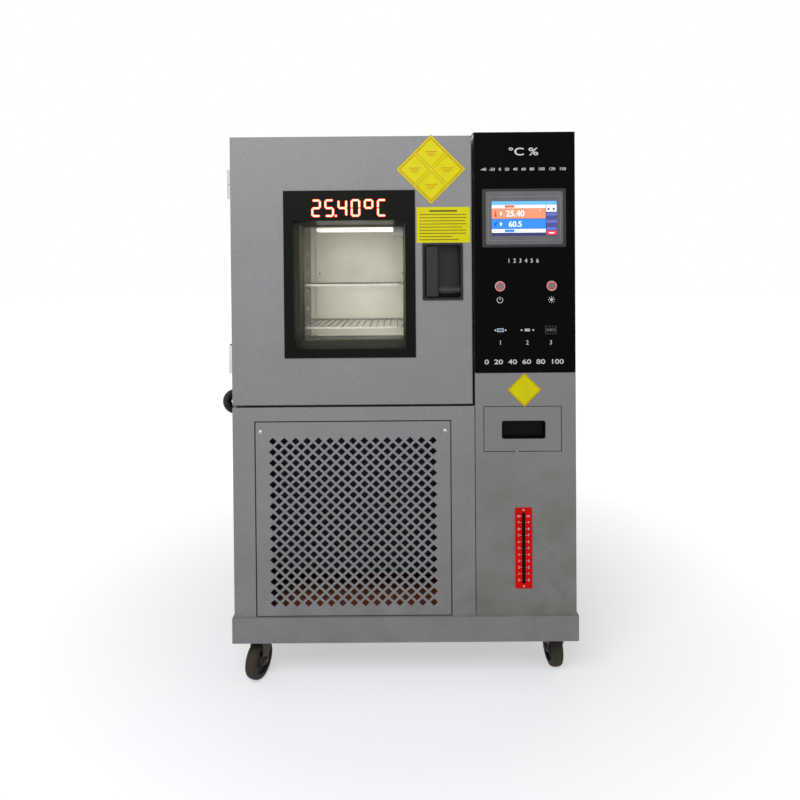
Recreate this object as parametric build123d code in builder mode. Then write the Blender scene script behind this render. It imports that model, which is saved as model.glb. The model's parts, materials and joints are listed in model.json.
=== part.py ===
from build123d import *
import math
import os

# Environmental test chamber: an insulated chamber behind a window door, a control tower beside it
# and a machine bay below, on four swivel casters. Millimetres, floor at z = 0, front towards -Y.

os.makedirs("parts", exist_ok=True)

# Cabinet outline
BODY_W = 939.0
BODY_D = 930.0
CASTER_H = 132.0
BASE_H = 69.0
LOWER_H = 577.0
UPPER_H = 738.0
TOWER_RISE = 8.0
TOWER_W = 275.0
BASE_LIP = 5.5
CENTRE_X = 29.0
FRONT_Y = -475.0

# Sheet metal
SKIN = 1.5
FOLD = 20.0
SEAM = 2.0
RAIL_W = 60.0
RAIL_T = 3.0

# Door
DOOR_GAP = 6.3
DOOR_SILL = 5.4
DOOR_T = 94.0
SEAL_T = 6.0
SEAL_FREE = 0.3
DOOR_EDGE = 2.0
PLUG_D = 20.0
PLUG_PLAY = 10.0
PLUG_TAPER = 4.0

# Window in the door
WINDOW_W = 358.6
WINDOW_H = 456.0
WINDOW_DX = -5.0
WINDOW_DZ = -8.7
WINDOW_PROUD = 3.0
SIGHT_W = 304.0
SIGHT_H = 349.5
SIGHT_SILL = 24.5
THROAT_W = 289.0
THROAT_H = 324.6
THROAT_DZ = 3.0
REVEAL_T = 2.0
PANE_T = 4.0
PANE_PLAY = 0.3
FIT = 0.3

# Lamp between the panes
LAMP_L = 218.0
LAMP_TUBE_D = 12.0
LAMP_SOCKET_L = 31.0
LAMP_DEPTH = 78.0
LAMP_DROP = 12.0

# Handle
CUP_W = 110.0
CUP_H = 155.0
CUP_EDGE = 25.2
CUP_DZ = -3.2
CUP_D = 40.0
CUP_WALL = 2.0
CUP_PROUD = 2.0
CUP_RIM = 3.5
LEVER_W = 33.0
LEVER_T = 4.0
LEVER_PIN_D = 5.0
LEVER_BARREL_D = 9.0

# Hinges
HINGE_H = 82.0
HINGE_INSET = 75.0
HINGE_OUT = 22.5
HINGE_BARREL_D = 22.0
HINGE_PIN_D = 10.0
HINGE_LEAF_T = 3.0
HINGE_LEAF_L = 42.0
PIN_PLAY = 0.05

# Chamber
CAVITY_W = 400.0
CAVITY_H = 500.0
CAVITY_D = 400.0
PLENUM_D = 110.0
LINER_T = 1.2
BACK_INSULATION = 100.0
BAFFLE_STEP = 15.0
BAFFLE_MARGIN = 43.0
BAFFLE_TOP_GAP = 37.0
BAFFLE_FOOT_GAP = 28.0
SENSOR_D = 6.0
SENSOR_L = 40.0
SENSOR_PITCH = 48.0
SENSOR_DROP = 70.0
POST_W = 22.0
POST_T = 8.0
SHELF_UPPER = 212.0
SHELF_LOWER = 86.0
SHELF_PLAY = 10.0
WIRE = 3.0
SHELF_ROD = 6.0
WIRES = 17

# Cable port through the left wall
PORT_BORE = 50.0
PORT_WALL = 3.0
PORT_FLANGE_D = 84.0
PORT_FLANGE_T = 3.0
PORT_DEPTH = 225.0
PORT_RISE = 110.0

# Fans
AIR_FAN_D = 190.0
AIR_FAN_RISE = 120.0
AIR_SHAFT_D = 14.0
COOLING_FAN_D = 330.0
COOLING_SHAFT_D = 10.0
SHAFT_PLAY = 0.05

# Grille panel
GRILLE_W = 532.0
GRILLE_H = 532.0
GRILLE_D = 14.0
GRILLE_GAP = 3.5
GRILLE_SILL = 4.0
GRILLE_LIP = 12.0
HOLE_W = 22.0
HOLE_H = 20.5
HOLE_PITCH_X = 31.3
HOLE_PITCH_Z = 29.7
HOLE_COLUMNS = 15
HOLE_ROWS = 16
HOLES_DZ = -8.6
SCREW_INSET = 13.0
SCREW_DROP = 26.0
SCREW_D = 5.0

# Control panel
PANEL_H = 655.3
SCREEN_W = 228.5
SCREEN_H = 159.4
SCREEN_X = 330.2
SCREEN_RISE = 421.6
SCREEN_PROUD = 5.0
GLASS_W = 176.0
GLASS_H = 88.0
GLASS_DZ = 2.2
BUTTON_X = (263.8, 404.5)
BUTTON_RISE = 236.3
BUTTON_D = 19.4
BUTTON_PLAY = 0.08
COLLAR_D = 27.0
COLLAR_PROUD = 3.0
BUTTON_PROUD = 5.0
BUTTON_TRAVEL = 3.0
SOCKET_RISE = 116.3
SERIAL_X = 264.6
SERIAL_W = 18.0
SERIAL_H = 9.4
SERIAL_POST = 14.0
USB_X = 338.0
USB_W = 14.0
USB_H = 7.0
USB_POST = 16.0
USB_TONGUE = 1.6
USB_POCKET = 6.0
SOCKET_DEPTH = 16.0
SOCKET_PROUD = 0.5
SOCKET_POST_D = 5.0
SOCKET_FLANGE_H = 12.0
SOCKET_FLANGE_T = 3.0
SELECTOR_X = 402.0
SELECTOR_W = 32.0
SELECTOR_H = 23.0
SELECTOR_RIM = 1.7
SELECTOR_PROUD = 1.5
SELECTOR_DEPTH = 24.0
DIGIT_D = 18.0
DIGIT_W = 6.4
DIGIT_PITCH = 8.4
DIGIT_AXLE_D = 3.0

# Drawer and level gauge in the right-hand column
DRAWER_W = 210.0
DRAWER_H = 121.3
DRAWER_X = 324.0
DRAWER_DROP = 3.0
DRAWER_GAP = 2.0
DRAWER_D = 300.0
DRAWER_FRONT_T = 18.0
PULL_W = 117.0
PULL_H = 47.0
PULL_DX = 2.5
PULL_DZ = -2.0
PULL_D = 15.0
RUNNER_T = 2.0
RUNNER_LEDGE = 12.0
GAUGE_W = 46.0
GAUGE_H = 222.0
GAUGE_X = 324.6
GAUGE_RISE = 186.5
GAUGE_T = 2.0
GAUGE_SLOT_W = 10.0
GAUGE_SLOT_H = 197.0
TANK_W = 210.0
TANK_D = 210.0
TANK_H = 320.0
SIGHT_TUBE_D = 12.0

# Casters: swivel stems, trail and the way each one happens to point
WHEEL_D = 104.0
WHEEL_W = 32.0
WHEEL_HUB_R = 16.0
WHEEL_DISH = 6.0
WHEEL_TREAD = 15.0
WHEEL_SHOULDER = 6.0
TRAIL = 25.0
STEM_LEFT = -408.0
STEM_RIGHT = 432.0
STEM_FRONT = 81.0
STEM_BACK = 80.0
PAD = 84.0
PAD_T = 5.0
RACE_D = 66.0
RACE_H = 10.0
CROWN_T = 4.0
FORK_T = 3.0
FORK_PLAY = 2.0
CHEEK_FOOT = 11.0
AXLE_D = 10.0
AXLE_NUT_T = 6.0
KINGPIN_D = 12.0
YAW = {"front_left": -110.0, "front_right": 95.0, "rear_left": 80.0, "rear_right": 115.0}

# Conduit loop on the left side
CONDUIT_D = 27.0
CONDUIT_R = 23.6
CONDUIT_OUT = 26.5
CONDUIT_BACK = 135.0
CONDUIT_DROP = 9.0
CONDUIT_HELD = 12.0

# Levels and edges that follow from the sizes above
LEFT = -BODY_W / 2
RIGHT = BODY_W / 2
BACK_Y = FRONT_Y + BODY_D
BASE_Z = CASTER_H
DECK_Z = BASE_Z + BASE_H
SPLIT_Z = DECK_Z + LOWER_H
TOP_Z = SPLIT_Z + UPPER_H
TOWER_TOP_Z = TOP_Z + TOWER_RISE
TOWER_X = RIGHT - TOWER_W
PANEL_Z = TOWER_TOP_Z - PANEL_H
BASE_W = BODY_W + 2 * BASE_LIP
BASE_D = BODY_D + 2 * BASE_LIP
MIDDLE_Y = (FRONT_Y + BACK_Y) / 2

DOOR_LEFT = LEFT
DOOR_RIGHT = TOWER_X - DOOR_GAP
DOOR_W = DOOR_RIGHT - DOOR_LEFT
DOOR_X = (DOOR_LEFT + DOOR_RIGHT) / 2
DOOR_Z0 = SPLIT_Z + DOOR_SILL
DOOR_H = TOP_Z - DOOR_Z0
DOOR_Z = (DOOR_Z0 + TOP_Z) / 2
DOOR_BACK_Y = FRONT_Y + DOOR_T
PAN_Y = DOOR_BACK_Y - SKIN
JAMB_Y = DOOR_BACK_Y + SEAL_T

CAVITY_X = DOOR_X
CAVITY_Z = (SPLIT_Z + TOP_Z) / 2
CAVITY_LEFT = CAVITY_X - CAVITY_W / 2
CAVITY_RIGHT = CAVITY_X + CAVITY_W / 2
CAVITY_Z0 = CAVITY_Z - CAVITY_H / 2
CAVITY_Z1 = CAVITY_Z + CAVITY_H / 2
BAFFLE_Y = JAMB_Y + CAVITY_D
LINER_BACK_Y = BAFFLE_Y + PLENUM_D
BULKHEAD_Y = LINER_BACK_Y + LINER_T + BACK_INSULATION

WINDOW_X = DOOR_X + WINDOW_DX
WINDOW_Z = DOOR_Z + WINDOW_DZ
SIGHT_Z = WINDOW_Z - WINDOW_H / 2 + SIGHT_SILL + SIGHT_H / 2
THROAT_X = DOOR_X
THROAT_Z = SIGHT_Z + THROAT_DZ
REVEAL_D = DOOR_T + PLUG_D

CUP_X = DOOR_RIGHT - CUP_EDGE - CUP_W / 2
CUP_Z = DOOR_Z + CUP_DZ
HINGE_X = LEFT - HINGE_OUT
HINGE_Y = (DOOR_BACK_Y + JAMB_Y) / 2
HINGE_ZS = (DOOR_Z0 + HINGE_INSET, TOP_Z - HINGE_INSET - HINGE_H)
PORT_Y = JAMB_Y + PORT_DEPTH
PORT_Z = CAVITY_Z + PORT_RISE
AIR_FAN_Z = CAVITY_Z + AIR_FAN_RISE

GRILLE_X = DOOR_X
GRILLE_Z0 = DECK_Z + GRILLE_SILL
GRILLE_Z = GRILLE_Z0 + GRILLE_H / 2
SCREEN_Z = PANEL_Z + SCREEN_RISE
BUTTON_Z = PANEL_Z + BUTTON_RISE
SOCKET_Z = PANEL_Z + SOCKET_RISE
DRAWER_Z1 = SPLIT_Z - DRAWER_DROP
DRAWER_Z = DRAWER_Z1 - DRAWER_H / 2
GAUGE_Z = DECK_Z + GAUGE_RISE
CONDUIT_Y = FRONT_Y + CONDUIT_BACK
CONDUIT_Z = SPLIT_Z - CONDUIT_DROP
PAD_Z = BASE_Z - PAD_T


def front(y):
    """Elevation at depth y: local x to the right, local y up, normal towards the viewer."""
    return Plane(origin=(CENTRE_X, y, 0), x_dir=(1, 0, 0), z_dir=(0, -1, 0))


def level(z):
    """Plan at height z: local x to the right, local y to the back, normal up."""
    return Plane(origin=(CENTRE_X, 0, z), x_dir=(1, 0, 0), z_dir=(0, 0, 1))


def side(x):
    """Profile at x: local x to the back, local y up, normal to the right."""
    return Plane(origin=(CENTRE_X + x, 0, 0), x_dir=(0, 1, 0), z_dir=(1, 0, 0))


def at(x, y, z):
    """A point given from the cabinet's middle."""
    return (CENTRE_X + x, y, z)


def plate(plane, left, right, bottom, top, thickness, mode=Mode.ADD):
    """Rectangular plate between two corners on a plane, grown along its normal."""
    with BuildSketch(plane) as outline:
        with Locations(((left + right) / 2, (bottom + top) / 2)):
            Rectangle(right - left, top - bottom)
    extrude(outline.sketch, amount=thickness, mode=mode)


def disc(plane, x, y, diameter, thickness, mode=Mode.ADD):
    """Round plate or bore centred on a point of a plane, grown along its normal."""
    with BuildSketch(plane) as outline:
        with Locations((x, y)):
            Circle(diameter / 2)
    extrude(outline.sketch, amount=thickness, mode=mode)


def folded_edge(left, right, bottom, top, depth):
    """Sheet edge folded back behind a front skin, just inside the given outline."""
    with BuildSketch(front(FRONT_Y + SKIN)) as ring:
        with Locations(((left + right) / 2, (bottom + top) / 2)):
            Rectangle(right - left, top - bottom)
            Rectangle(right - left - 2 * SKIN, top - bottom - 2 * SKIN, mode=Mode.SUBTRACT)
    extrude(ring.sketch, amount=-depth)


def reveal(depth):
    """Width, height, middle x and middle z of the window reveal at a depth behind the front."""
    share = depth / REVEAL_D
    return (
        SIGHT_W + (THROAT_W - SIGHT_W) * share,
        SIGHT_H + (THROAT_H - SIGHT_H) * share,
        WINDOW_X + (THROAT_X - WINDOW_X) * share,
        SIGHT_Z + (THROAT_Z - SIGHT_Z) * share,
    )


def reveal_sketch(depth, margin):
    """Reveal outline at a depth, grown by a margin on every side."""
    width, height, x, z = reveal(depth)
    with BuildSketch(front(FRONT_Y + depth)) as outline:
        with Locations((x, z)):
            Rectangle(width + 2 * margin, height + 2 * margin)
    return outline.sketch


def blade(x, y, z, angle, inner, outer, chord, pitch, thickness):
    """Flat pitched blade of a fan whose axis runs along Y."""
    turn = math.radians(angle)
    lean = math.radians(pitch)
    radial = Vector(math.cos(turn), 0, math.sin(turn))
    around = Vector(-math.sin(turn), 0, math.cos(turn))
    normal = Vector(0, math.cos(lean), 0) + around * math.sin(lean)
    root = Vector(*at(x, y, z)) + radial * inner
    length = outer - inner
    with BuildSketch(Plane(origin=root, x_dir=radial, z_dir=normal)) as outline:
        Polygon(
            (0, -chord * 0.35),
            (length * 0.94, -chord * 0.5),
            (length, -chord * 0.2),
            (length, chord * 0.3),
            (length * 0.86, chord * 0.5),
            (0, chord * 0.35),
            align=None,
        )
    extrude(outline.sketch, amount=thickness / 2, both=True)


def pipe(points, diameter, bend):
    """Eight-sided tube along straight runs joined by tangent bends."""
    with BuildLine() as route:
        FilletPolyline(*points, radius=bend)
    start = Vector(*points[0])
    heading = Vector(*points[1]) - start
    with BuildSketch(Plane(origin=start, z_dir=heading)) as ring:
        RegularPolygon(diameter / 2, 8)
    sweep(ring.sketch, path=route.wires()[0])


# Plinth: channel frame with a floor tray, caster pads and kingpins
with BuildPart() as base_frame:
    with BuildSketch(level(BASE_Z)):
        with Locations((0, MIDDLE_Y)):
            Rectangle(BASE_W, BASE_D)
            Rectangle(BASE_W - 2 * RAIL_W, BASE_D - 2 * RAIL_W, mode=Mode.SUBTRACT)
    extrude(amount=BASE_H)
    fillet(base_frame.edges().filter_by(Axis.Z).group_by(SortBy.DISTANCE)[-1], radius=RAIL_T)
    with BuildSketch(level(BASE_Z + RAIL_T)):
        with Locations((0, MIDDLE_Y)):
            Rectangle(BASE_W - 2 * RAIL_T, BASE_D - 2 * RAIL_T)
    extrude(amount=BASE_H - 2 * RAIL_T, mode=Mode.SUBTRACT)
    with BuildSketch(level(DECK_Z - RAIL_T)):
        with Locations((0, MIDDLE_Y)):
            Rectangle(BASE_W - RAIL_W, BASE_D - RAIL_W)
    extrude(amount=RAIL_T)
    for stem_x in (STEM_LEFT, STEM_RIGHT):
        for stem_y in (FRONT_Y + STEM_FRONT, BACK_Y - STEM_BACK):
            plate(
                level(PAD_Z),
                stem_x - PAD / 2,
                stem_x + PAD / 2,
                stem_y - PAD / 2,
                stem_y + PAD / 2,
                PAD_T,
            )
            kingpin_h = RACE_H + CROWN_T + FIT
            disc(level(PAD_Z - kingpin_h), stem_x, stem_y, KINGPIN_D, kingpin_h)
base_frame.part.label = "base_frame"
export_step(base_frame.part, "parts/base_frame.step")

# Lower front frame: two legs and a top rail around the grille panel, with lips that carry it
frame_right = TOWER_X - SEAM
hole_left = GRILLE_X - GRILLE_W / 2 - GRILLE_GAP
hole_right = GRILLE_X + GRILLE_W / 2 + GRILLE_GAP
hole_top = GRILLE_Z0 + GRILLE_H + GRILLE_GAP
with BuildPart() as lower_front_frame:
    plate(front(FRONT_Y + SKIN), LEFT, frame_right, DECK_Z, SPLIT_Z, SKIN)
    folded_edge(LEFT + SKIN, frame_right, DECK_Z, SPLIT_Z - SKIN, FOLD)
    plate(front(FRONT_Y + FOLD + SKIN), hole_left, hole_right, DECK_Z, hole_top, FOLD + SKIN, Mode.SUBTRACT)
    lip_y = FRONT_Y + GRILLE_D + SKIN
    with BuildSketch(front(lip_y)):
        with Locations(((hole_left + hole_right) / 2, (DECK_Z + hole_top) / 2)):
            Rectangle(hole_right - hole_left + 2 * SKIN, hole_top - DECK_Z)
    extrude(amount=SKIN)
    with BuildSketch(front(lip_y)):
        with Locations(((hole_left + hole_right) / 2, (DECK_Z + hole_top + SKIN) / 2)):
            Rectangle(hole_right - hole_left + 2 * SKIN, hole_top + SKIN - DECK_Z)
        with Locations(((hole_left + hole_right) / 2, (DECK_Z + hole_top) / 2)):
            Rectangle(hole_right - hole_left, hole_top - DECK_Z, mode=Mode.SUBTRACT)
    extrude(amount=GRILLE_D)
    lip_left = hole_left + GRILLE_GAP + GRILLE_LIP
    lip_right = hole_right - GRILLE_GAP - GRILLE_LIP
    lip_top = hole_top - GRILLE_GAP - GRILLE_LIP
    plate(front(lip_y), lip_left, lip_right, DECK_Z, lip_top, SKIN, Mode.SUBTRACT)
lower_front_frame.part.label = "lower_front_frame"
export_step(lower_front_frame.part, "parts/lower_front_frame.step")

# Grille panel: shallow tray with staggered diamond holes and two screw holes near its top corners
with BuildPart() as grille_panel:
    with BuildSketch(front(FRONT_Y + SKIN)):
        with Locations((GRILLE_X, GRILLE_Z)):
            Rectangle(GRILLE_W, GRILLE_H)
        with Locations((GRILLE_X, GRILLE_Z + HOLES_DZ)):
            with GridLocations(HOLE_PITCH_X, HOLE_PITCH_Z, HOLE_COLUMNS, HOLE_ROWS):
                Polygon(
                    (-HOLE_W / 2, 0),
                    (0, -HOLE_H / 2),
                    (HOLE_W / 2, 0),
                    (0, HOLE_H / 2),
                    mode=Mode.SUBTRACT,
                )
            with GridLocations(HOLE_PITCH_X, HOLE_PITCH_Z, HOLE_COLUMNS - 1, HOLE_ROWS - 1):
                Polygon(
                    (-HOLE_W / 2, 0),
                    (0, -HOLE_H / 2),
                    (HOLE_W / 2, 0),
                    (0, HOLE_H / 2),
                    mode=Mode.SUBTRACT,
                )
    extrude(amount=SKIN)
    with BuildSketch(front(FRONT_Y + GRILLE_D)):
        with Locations((GRILLE_X, GRILLE_Z)):
            Rectangle(GRILLE_W, GRILLE_H)
            Rectangle(GRILLE_W - 2 * SKIN, GRILLE_H - 2 * SKIN, mode=Mode.SUBTRACT)
    extrude(amount=GRILLE_D - SKIN)
    for sign in (-1, 1):
        screw_x = GRILLE_X + sign * (GRILLE_W / 2 - SCREW_INSET)
        screw_z = GRILLE_Z + GRILLE_H / 2 - SCREW_DROP
        disc(front(FRONT_Y + SKIN), screw_x, screw_z, SCREW_D, SKIN, Mode.SUBTRACT)
grille_panel.part.label = "grille_panel"
export_step(grille_panel.part, "parts/grille_panel.step")

# Front skin of the right-hand column, with the drawer opening and the gauge slot
drawer_left = DRAWER_X - DRAWER_W / 2
drawer_right = DRAWER_X + DRAWER_W / 2
with BuildPart() as column_front:
    plate(front(FRONT_Y + SKIN), TOWER_X, RIGHT, DECK_Z, PANEL_Z - SEAM / 2, SKIN)
    folded_edge(TOWER_X + SKIN, RIGHT - SKIN, DECK_Z, PANEL_Z - SEAM / 2, FOLD)
    plate(
        front(FRONT_Y + SKIN),
        drawer_left - DRAWER_GAP,
        drawer_right + DRAWER_GAP,
        DRAWER_Z1 - DRAWER_H - DRAWER_GAP,
        DRAWER_Z1 + DRAWER_GAP,
        SKIN,
        Mode.SUBTRACT,
    )
    with BuildSketch(front(FRONT_Y + SKIN)):
        with Locations((GAUGE_X, GAUGE_Z)):
            SlotOverall(GAUGE_SLOT_H + 4, GAUGE_SLOT_W + 4, rotation=90)
    extrude(amount=SKIN, mode=Mode.SUBTRACT)
column_front.part.label = "column_front"
export_step(column_front.part, "parts/column_front.step")

# Black control panel with its cut-outs
with BuildPart() as control_panel:
    plate(front(FRONT_Y + SKIN), TOWER_X, RIGHT, PANEL_Z + SEAM / 2, TOWER_TOP_Z, SKIN)
    folded_edge(TOWER_X + SKIN, RIGHT - SKIN, PANEL_Z + SEAM / 2, TOWER_TOP_Z - SKIN, FOLD)
    with BuildSketch(front(FRONT_Y + SKIN)):
        with Locations((SCREEN_X, SCREEN_Z)):
            Rectangle(SCREEN_W - 12, SCREEN_H - 12)
        for button_x in BUTTON_X:
            with Locations((button_x, BUTTON_Z)):
                Circle(BUTTON_D / 2 + 2)
        with Locations((SERIAL_X, SOCKET_Z)):
            Rectangle(SERIAL_W + 2 * FIT, SERIAL_H + 2 * FIT)
        with Locations((USB_X, SOCKET_Z)):
            Rectangle(USB_W + 2 * FIT, USB_H + 2 * FIT)
        with Locations((SELECTOR_X, SOCKET_Z)):
            Rectangle(SELECTOR_W - 2 * SELECTOR_RIM + 2 * FIT, SELECTOR_H - 2 * SELECTOR_RIM + 2 * FIT)
    extrude(amount=SKIN, mode=Mode.SUBTRACT)
control_panel.part.label = "control_panel"
export_step(control_panel.part, "parts/control_panel.step")

# Left side skin, set back behind the door in its upper part, with holes for conduit and port
conduit_zs = (CONDUIT_Z + CONDUIT_R, CONDUIT_Z - CONDUIT_R)
with BuildPart() as left_side_panel:
    with BuildSketch(side(LEFT)):
        with BuildLine():
            Polyline(
                (FRONT_Y + SKIN, DECK_Z),
                (BACK_Y - SKIN, DECK_Z),
                (BACK_Y - SKIN, TOP_Z - SKIN),
                (JAMB_Y, TOP_Z - SKIN),
                (JAMB_Y, SPLIT_Z),
                (FRONT_Y + SKIN, SPLIT_Z),
                close=True,
            )
        make_face()
        for conduit_z in conduit_zs:
            with Locations((CONDUIT_Y, conduit_z)):
                Circle(CONDUIT_D / 2 + FIT, mode=Mode.SUBTRACT)
        with Locations((PORT_Y, PORT_Z)):
            Circle(PORT_BORE / 2 + PORT_WALL + FIT, mode=Mode.SUBTRACT)
    extrude(amount=SKIN)
left_side_panel.part.label = "left_side_panel"
export_step(left_side_panel.part, "parts/left_side_panel.step")

# Right side skin with a block of vent slots low down
VENT_W = 150.0
VENT_H = 8.0
VENT_PITCH = 24.0
VENTS = 6
with BuildPart() as right_side_panel:
    with BuildSketch(side(RIGHT - SKIN)):
        with Locations((MIDDLE_Y, (DECK_Z + TOWER_TOP_Z - SKIN) / 2)):
            Rectangle(BODY_D - 2 * SKIN, TOWER_TOP_Z - SKIN - DECK_Z)
        with Locations((BACK_Y - VENT_W, DECK_Z + VENT_W)):
            with GridLocations(VENT_W, VENT_PITCH, 1, VENTS):
                Rectangle(VENT_W, VENT_H, mode=Mode.SUBTRACT)
    extrude(amount=SKIN)
right_side_panel.part.label = "right_side_panel"
export_step(right_side_panel.part, "parts/right_side_panel.step")

# Back skin, stepped like the top, with vents for the machine bay and the motor bay
DRAIN_X = -300.0
GLAND_X = 380.0
FITTING_RISE = 90.0
SPIGOT_D = 20.0
SPIGOT_BORE = 14.0
GLAND_D = 24.0
with BuildPart() as back_panel:
    with BuildSketch(front(BACK_Y)):
        with BuildLine():
            Polyline(
                (LEFT, DECK_Z),
                (RIGHT, DECK_Z),
                (RIGHT, TOWER_TOP_Z),
                (TOWER_X, TOWER_TOP_Z),
                (TOWER_X, TOP_Z),
                (LEFT, TOP_Z),
                close=True,
            )
        make_face()
        with Locations((CAVITY_X, (DECK_Z + SPLIT_Z) / 2), (CAVITY_X, AIR_FAN_Z)):
            with GridLocations(VENT_W * 1.4, VENT_PITCH * 1.2, 2, VENTS):
                Rectangle(VENT_W, VENT_H, mode=Mode.SUBTRACT)
        with Locations((DRAIN_X, DECK_Z + FITTING_RISE)):
            Circle(SPIGOT_D / 2 + FIT, mode=Mode.SUBTRACT)
        with Locations((GLAND_X, DECK_Z + FITTING_RISE)):
            Circle(GLAND_D / 2 + FIT, mode=Mode.SUBTRACT)
    extrude(amount=SKIN)
back_panel.part.label = "back_panel"
export_step(back_panel.part, "parts/back_panel.step")

# Drain spigot and cable gland, screwed through the back skin
with BuildPart() as rear_fittings:
    disc(front(BACK_Y + 5), DRAIN_X, DECK_Z + FITTING_RISE, SPIGOT_D + 14, 5)
    disc(front(BACK_Y + 25), DRAIN_X, DECK_Z + FITTING_RISE, SPIGOT_D, 60)
    disc(front(BACK_Y + 25), DRAIN_X, DECK_Z + FITTING_RISE, SPIGOT_BORE, 60, Mode.SUBTRACT)
    with BuildSketch(front(BACK_Y + 22)):
        with Locations((GLAND_X, DECK_Z + FITTING_RISE)):
            RegularPolygon(GLAND_D / 2 + 4, 6)
    extrude(amount=22)
    disc(front(BACK_Y), GLAND_X, DECK_Z + FITTING_RISE, GLAND_D, 22)
rear_fittings.part.label = "rear_fittings"
export_step(rear_fittings.part, "parts/rear_fittings.step")

# Top skin: chamber lid, riser and the higher tower lid in one folded sheet
with BuildPart() as top_panel:
    with BuildSketch(level(TOP_Z - SKIN)):
        with Locations(((LEFT + TOWER_X) / 2, (JAMB_Y + BACK_Y - SKIN) / 2)):
            Rectangle(TOWER_X - LEFT, BACK_Y - SKIN - JAMB_Y)
    extrude(amount=SKIN)
    with BuildSketch(level(TOP_Z - SKIN)):
        with Locations((TOWER_X - SKIN / 2, (JAMB_Y + BACK_Y - SKIN) / 2)):
            Rectangle(SKIN, BACK_Y - SKIN - JAMB_Y)
    extrude(amount=TOWER_RISE + SKIN)
    with BuildSketch(level(TOWER_TOP_Z - SKIN)):
        with Locations(((TOWER_X - SKIN + RIGHT) / 2, MIDDLE_Y)):
            Rectangle(RIGHT - TOWER_X + SKIN, BODY_D - 2 * SKIN)
    extrude(amount=SKIN)
top_panel.part.label = "top_panel"
export_step(top_panel.part, "parts/top_panel.step")

# Inner bulkhead: shelf under the chamber, tower wall and the wall that carries the fan motor
with BuildPart() as inner_bulkhead:
    with BuildSketch(level(SPLIT_Z - SKIN)):
        with Locations(((LEFT + SKIN + TOWER_X) / 2, MIDDLE_Y)):
            Rectangle(TOWER_X - LEFT - SKIN, BODY_D - 2 * SKIN)
    extrude(amount=SKIN)
    with BuildSketch(side(TOWER_X)):
        with Locations((MIDDLE_Y, (SPLIT_Z - SKIN + TOWER_TOP_Z - SKIN) / 2)):
            Rectangle(BODY_D - 2 * SKIN, TOWER_TOP_Z - SPLIT_Z)
    extrude(amount=SKIN)
    plate(
        front(BULKHEAD_Y + SKIN),
        LEFT + SKIN,
        TOWER_X,
        SPLIT_Z,
        TOP_Z - SKIN,
        SKIN,
    )
    shaft_way_d = AIR_SHAFT_D + 10
    disc(front(BULKHEAD_Y + SKIN), CAVITY_X, AIR_FAN_Z, shaft_way_d, SKIN, Mode.SUBTRACT)
inner_bulkhead.part.label = "inner_bulkhead"
export_step(inner_bulkhead.part, "parts/inner_bulkhead.step")

# Stainless liner: five walls and the flange that the door seal presses on
with BuildPart() as chamber_liner:
    plate(front(JAMB_Y + LINER_T), LEFT + SKIN, TOWER_X, SPLIT_Z, TOP_Z - SKIN, LINER_T)
    with BuildSketch(front(LINER_BACK_Y + LINER_T)):
        with Locations((CAVITY_X, CAVITY_Z)):
            Rectangle(CAVITY_W + 2 * LINER_T, CAVITY_H + 2 * LINER_T)
    extrude(amount=LINER_BACK_Y + LINER_T - JAMB_Y)
    with BuildSketch(front(LINER_BACK_Y)):
        with Locations((CAVITY_X, CAVITY_Z)):
            Rectangle(CAVITY_W, CAVITY_H)
    extrude(amount=LINER_BACK_Y - JAMB_Y, mode=Mode.SUBTRACT)
    disc(front(LINER_BACK_Y + LINER_T), CAVITY_X, AIR_FAN_Z, shaft_way_d, LINER_T, Mode.SUBTRACT)
    port_hole_d = PORT_BORE + 2 * PORT_WALL + 2 * FIT
    disc(side(CAVITY_LEFT - LINER_T), PORT_Y, PORT_Z, port_hole_d, LINER_T, Mode.SUBTRACT)
chamber_liner.part.label = "chamber_liner"
export_step(chamber_liner.part, "parts/chamber_liner.step")

# Foam between the liner and the outer skins
with BuildPart() as chamber_insulation:
    plate(front(BULKHEAD_Y), LEFT + SKIN, TOWER_X, SPLIT_Z, TOP_Z - SKIN, BULKHEAD_Y - JAMB_Y - LINER_T)
    with BuildSketch(front(LINER_BACK_Y + LINER_T)):
        with Locations((CAVITY_X, CAVITY_Z)):
            Rectangle(CAVITY_W + 2 * LINER_T, CAVITY_H + 2 * LINER_T)
    extrude(amount=LINER_BACK_Y - JAMB_Y, mode=Mode.SUBTRACT)
    disc(front(BULKHEAD_Y), CAVITY_X, AIR_FAN_Z, shaft_way_d, BACK_INSULATION, Mode.SUBTRACT)
    port_way = CAVITY_LEFT - LINER_T - LEFT - SKIN
    disc(side(LEFT + SKIN), PORT_Y, PORT_Z, port_hole_d, port_way, Mode.SUBTRACT)
    plate(
        side(LEFT + SKIN),
        CONDUIT_Y - CONDUIT_D,
        CONDUIT_Y + CONDUIT_D,
        SPLIT_Z,
        conduit_zs[0] + CONDUIT_D,
        2 * CONDUIT_D,
        Mode.SUBTRACT,
    )
chamber_insulation.part.label = "chamber_insulation"
export_step(chamber_insulation.part, "parts/chamber_insulation.step")

# Cable port: flanged sleeve from outside into the chamber
with BuildPart() as cable_port:
    with BuildSketch(side(LEFT - PORT_FLANGE_T)):
        with Locations((PORT_Y, PORT_Z)):
            Circle(PORT_FLANGE_D / 2)
            Circle(PORT_BORE / 2, mode=Mode.SUBTRACT)
    extrude(amount=PORT_FLANGE_T)
    with BuildSketch(side(LEFT)):
        with Locations((PORT_Y, PORT_Z)):
            Circle(PORT_BORE / 2 + PORT_WALL)
            Circle(PORT_BORE / 2, mode=Mode.SUBTRACT)
    extrude(amount=CAVITY_LEFT - LEFT)
cable_port.part.label = "cable_port"
export_step(cable_port.part, "parts/cable_port.step")

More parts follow.
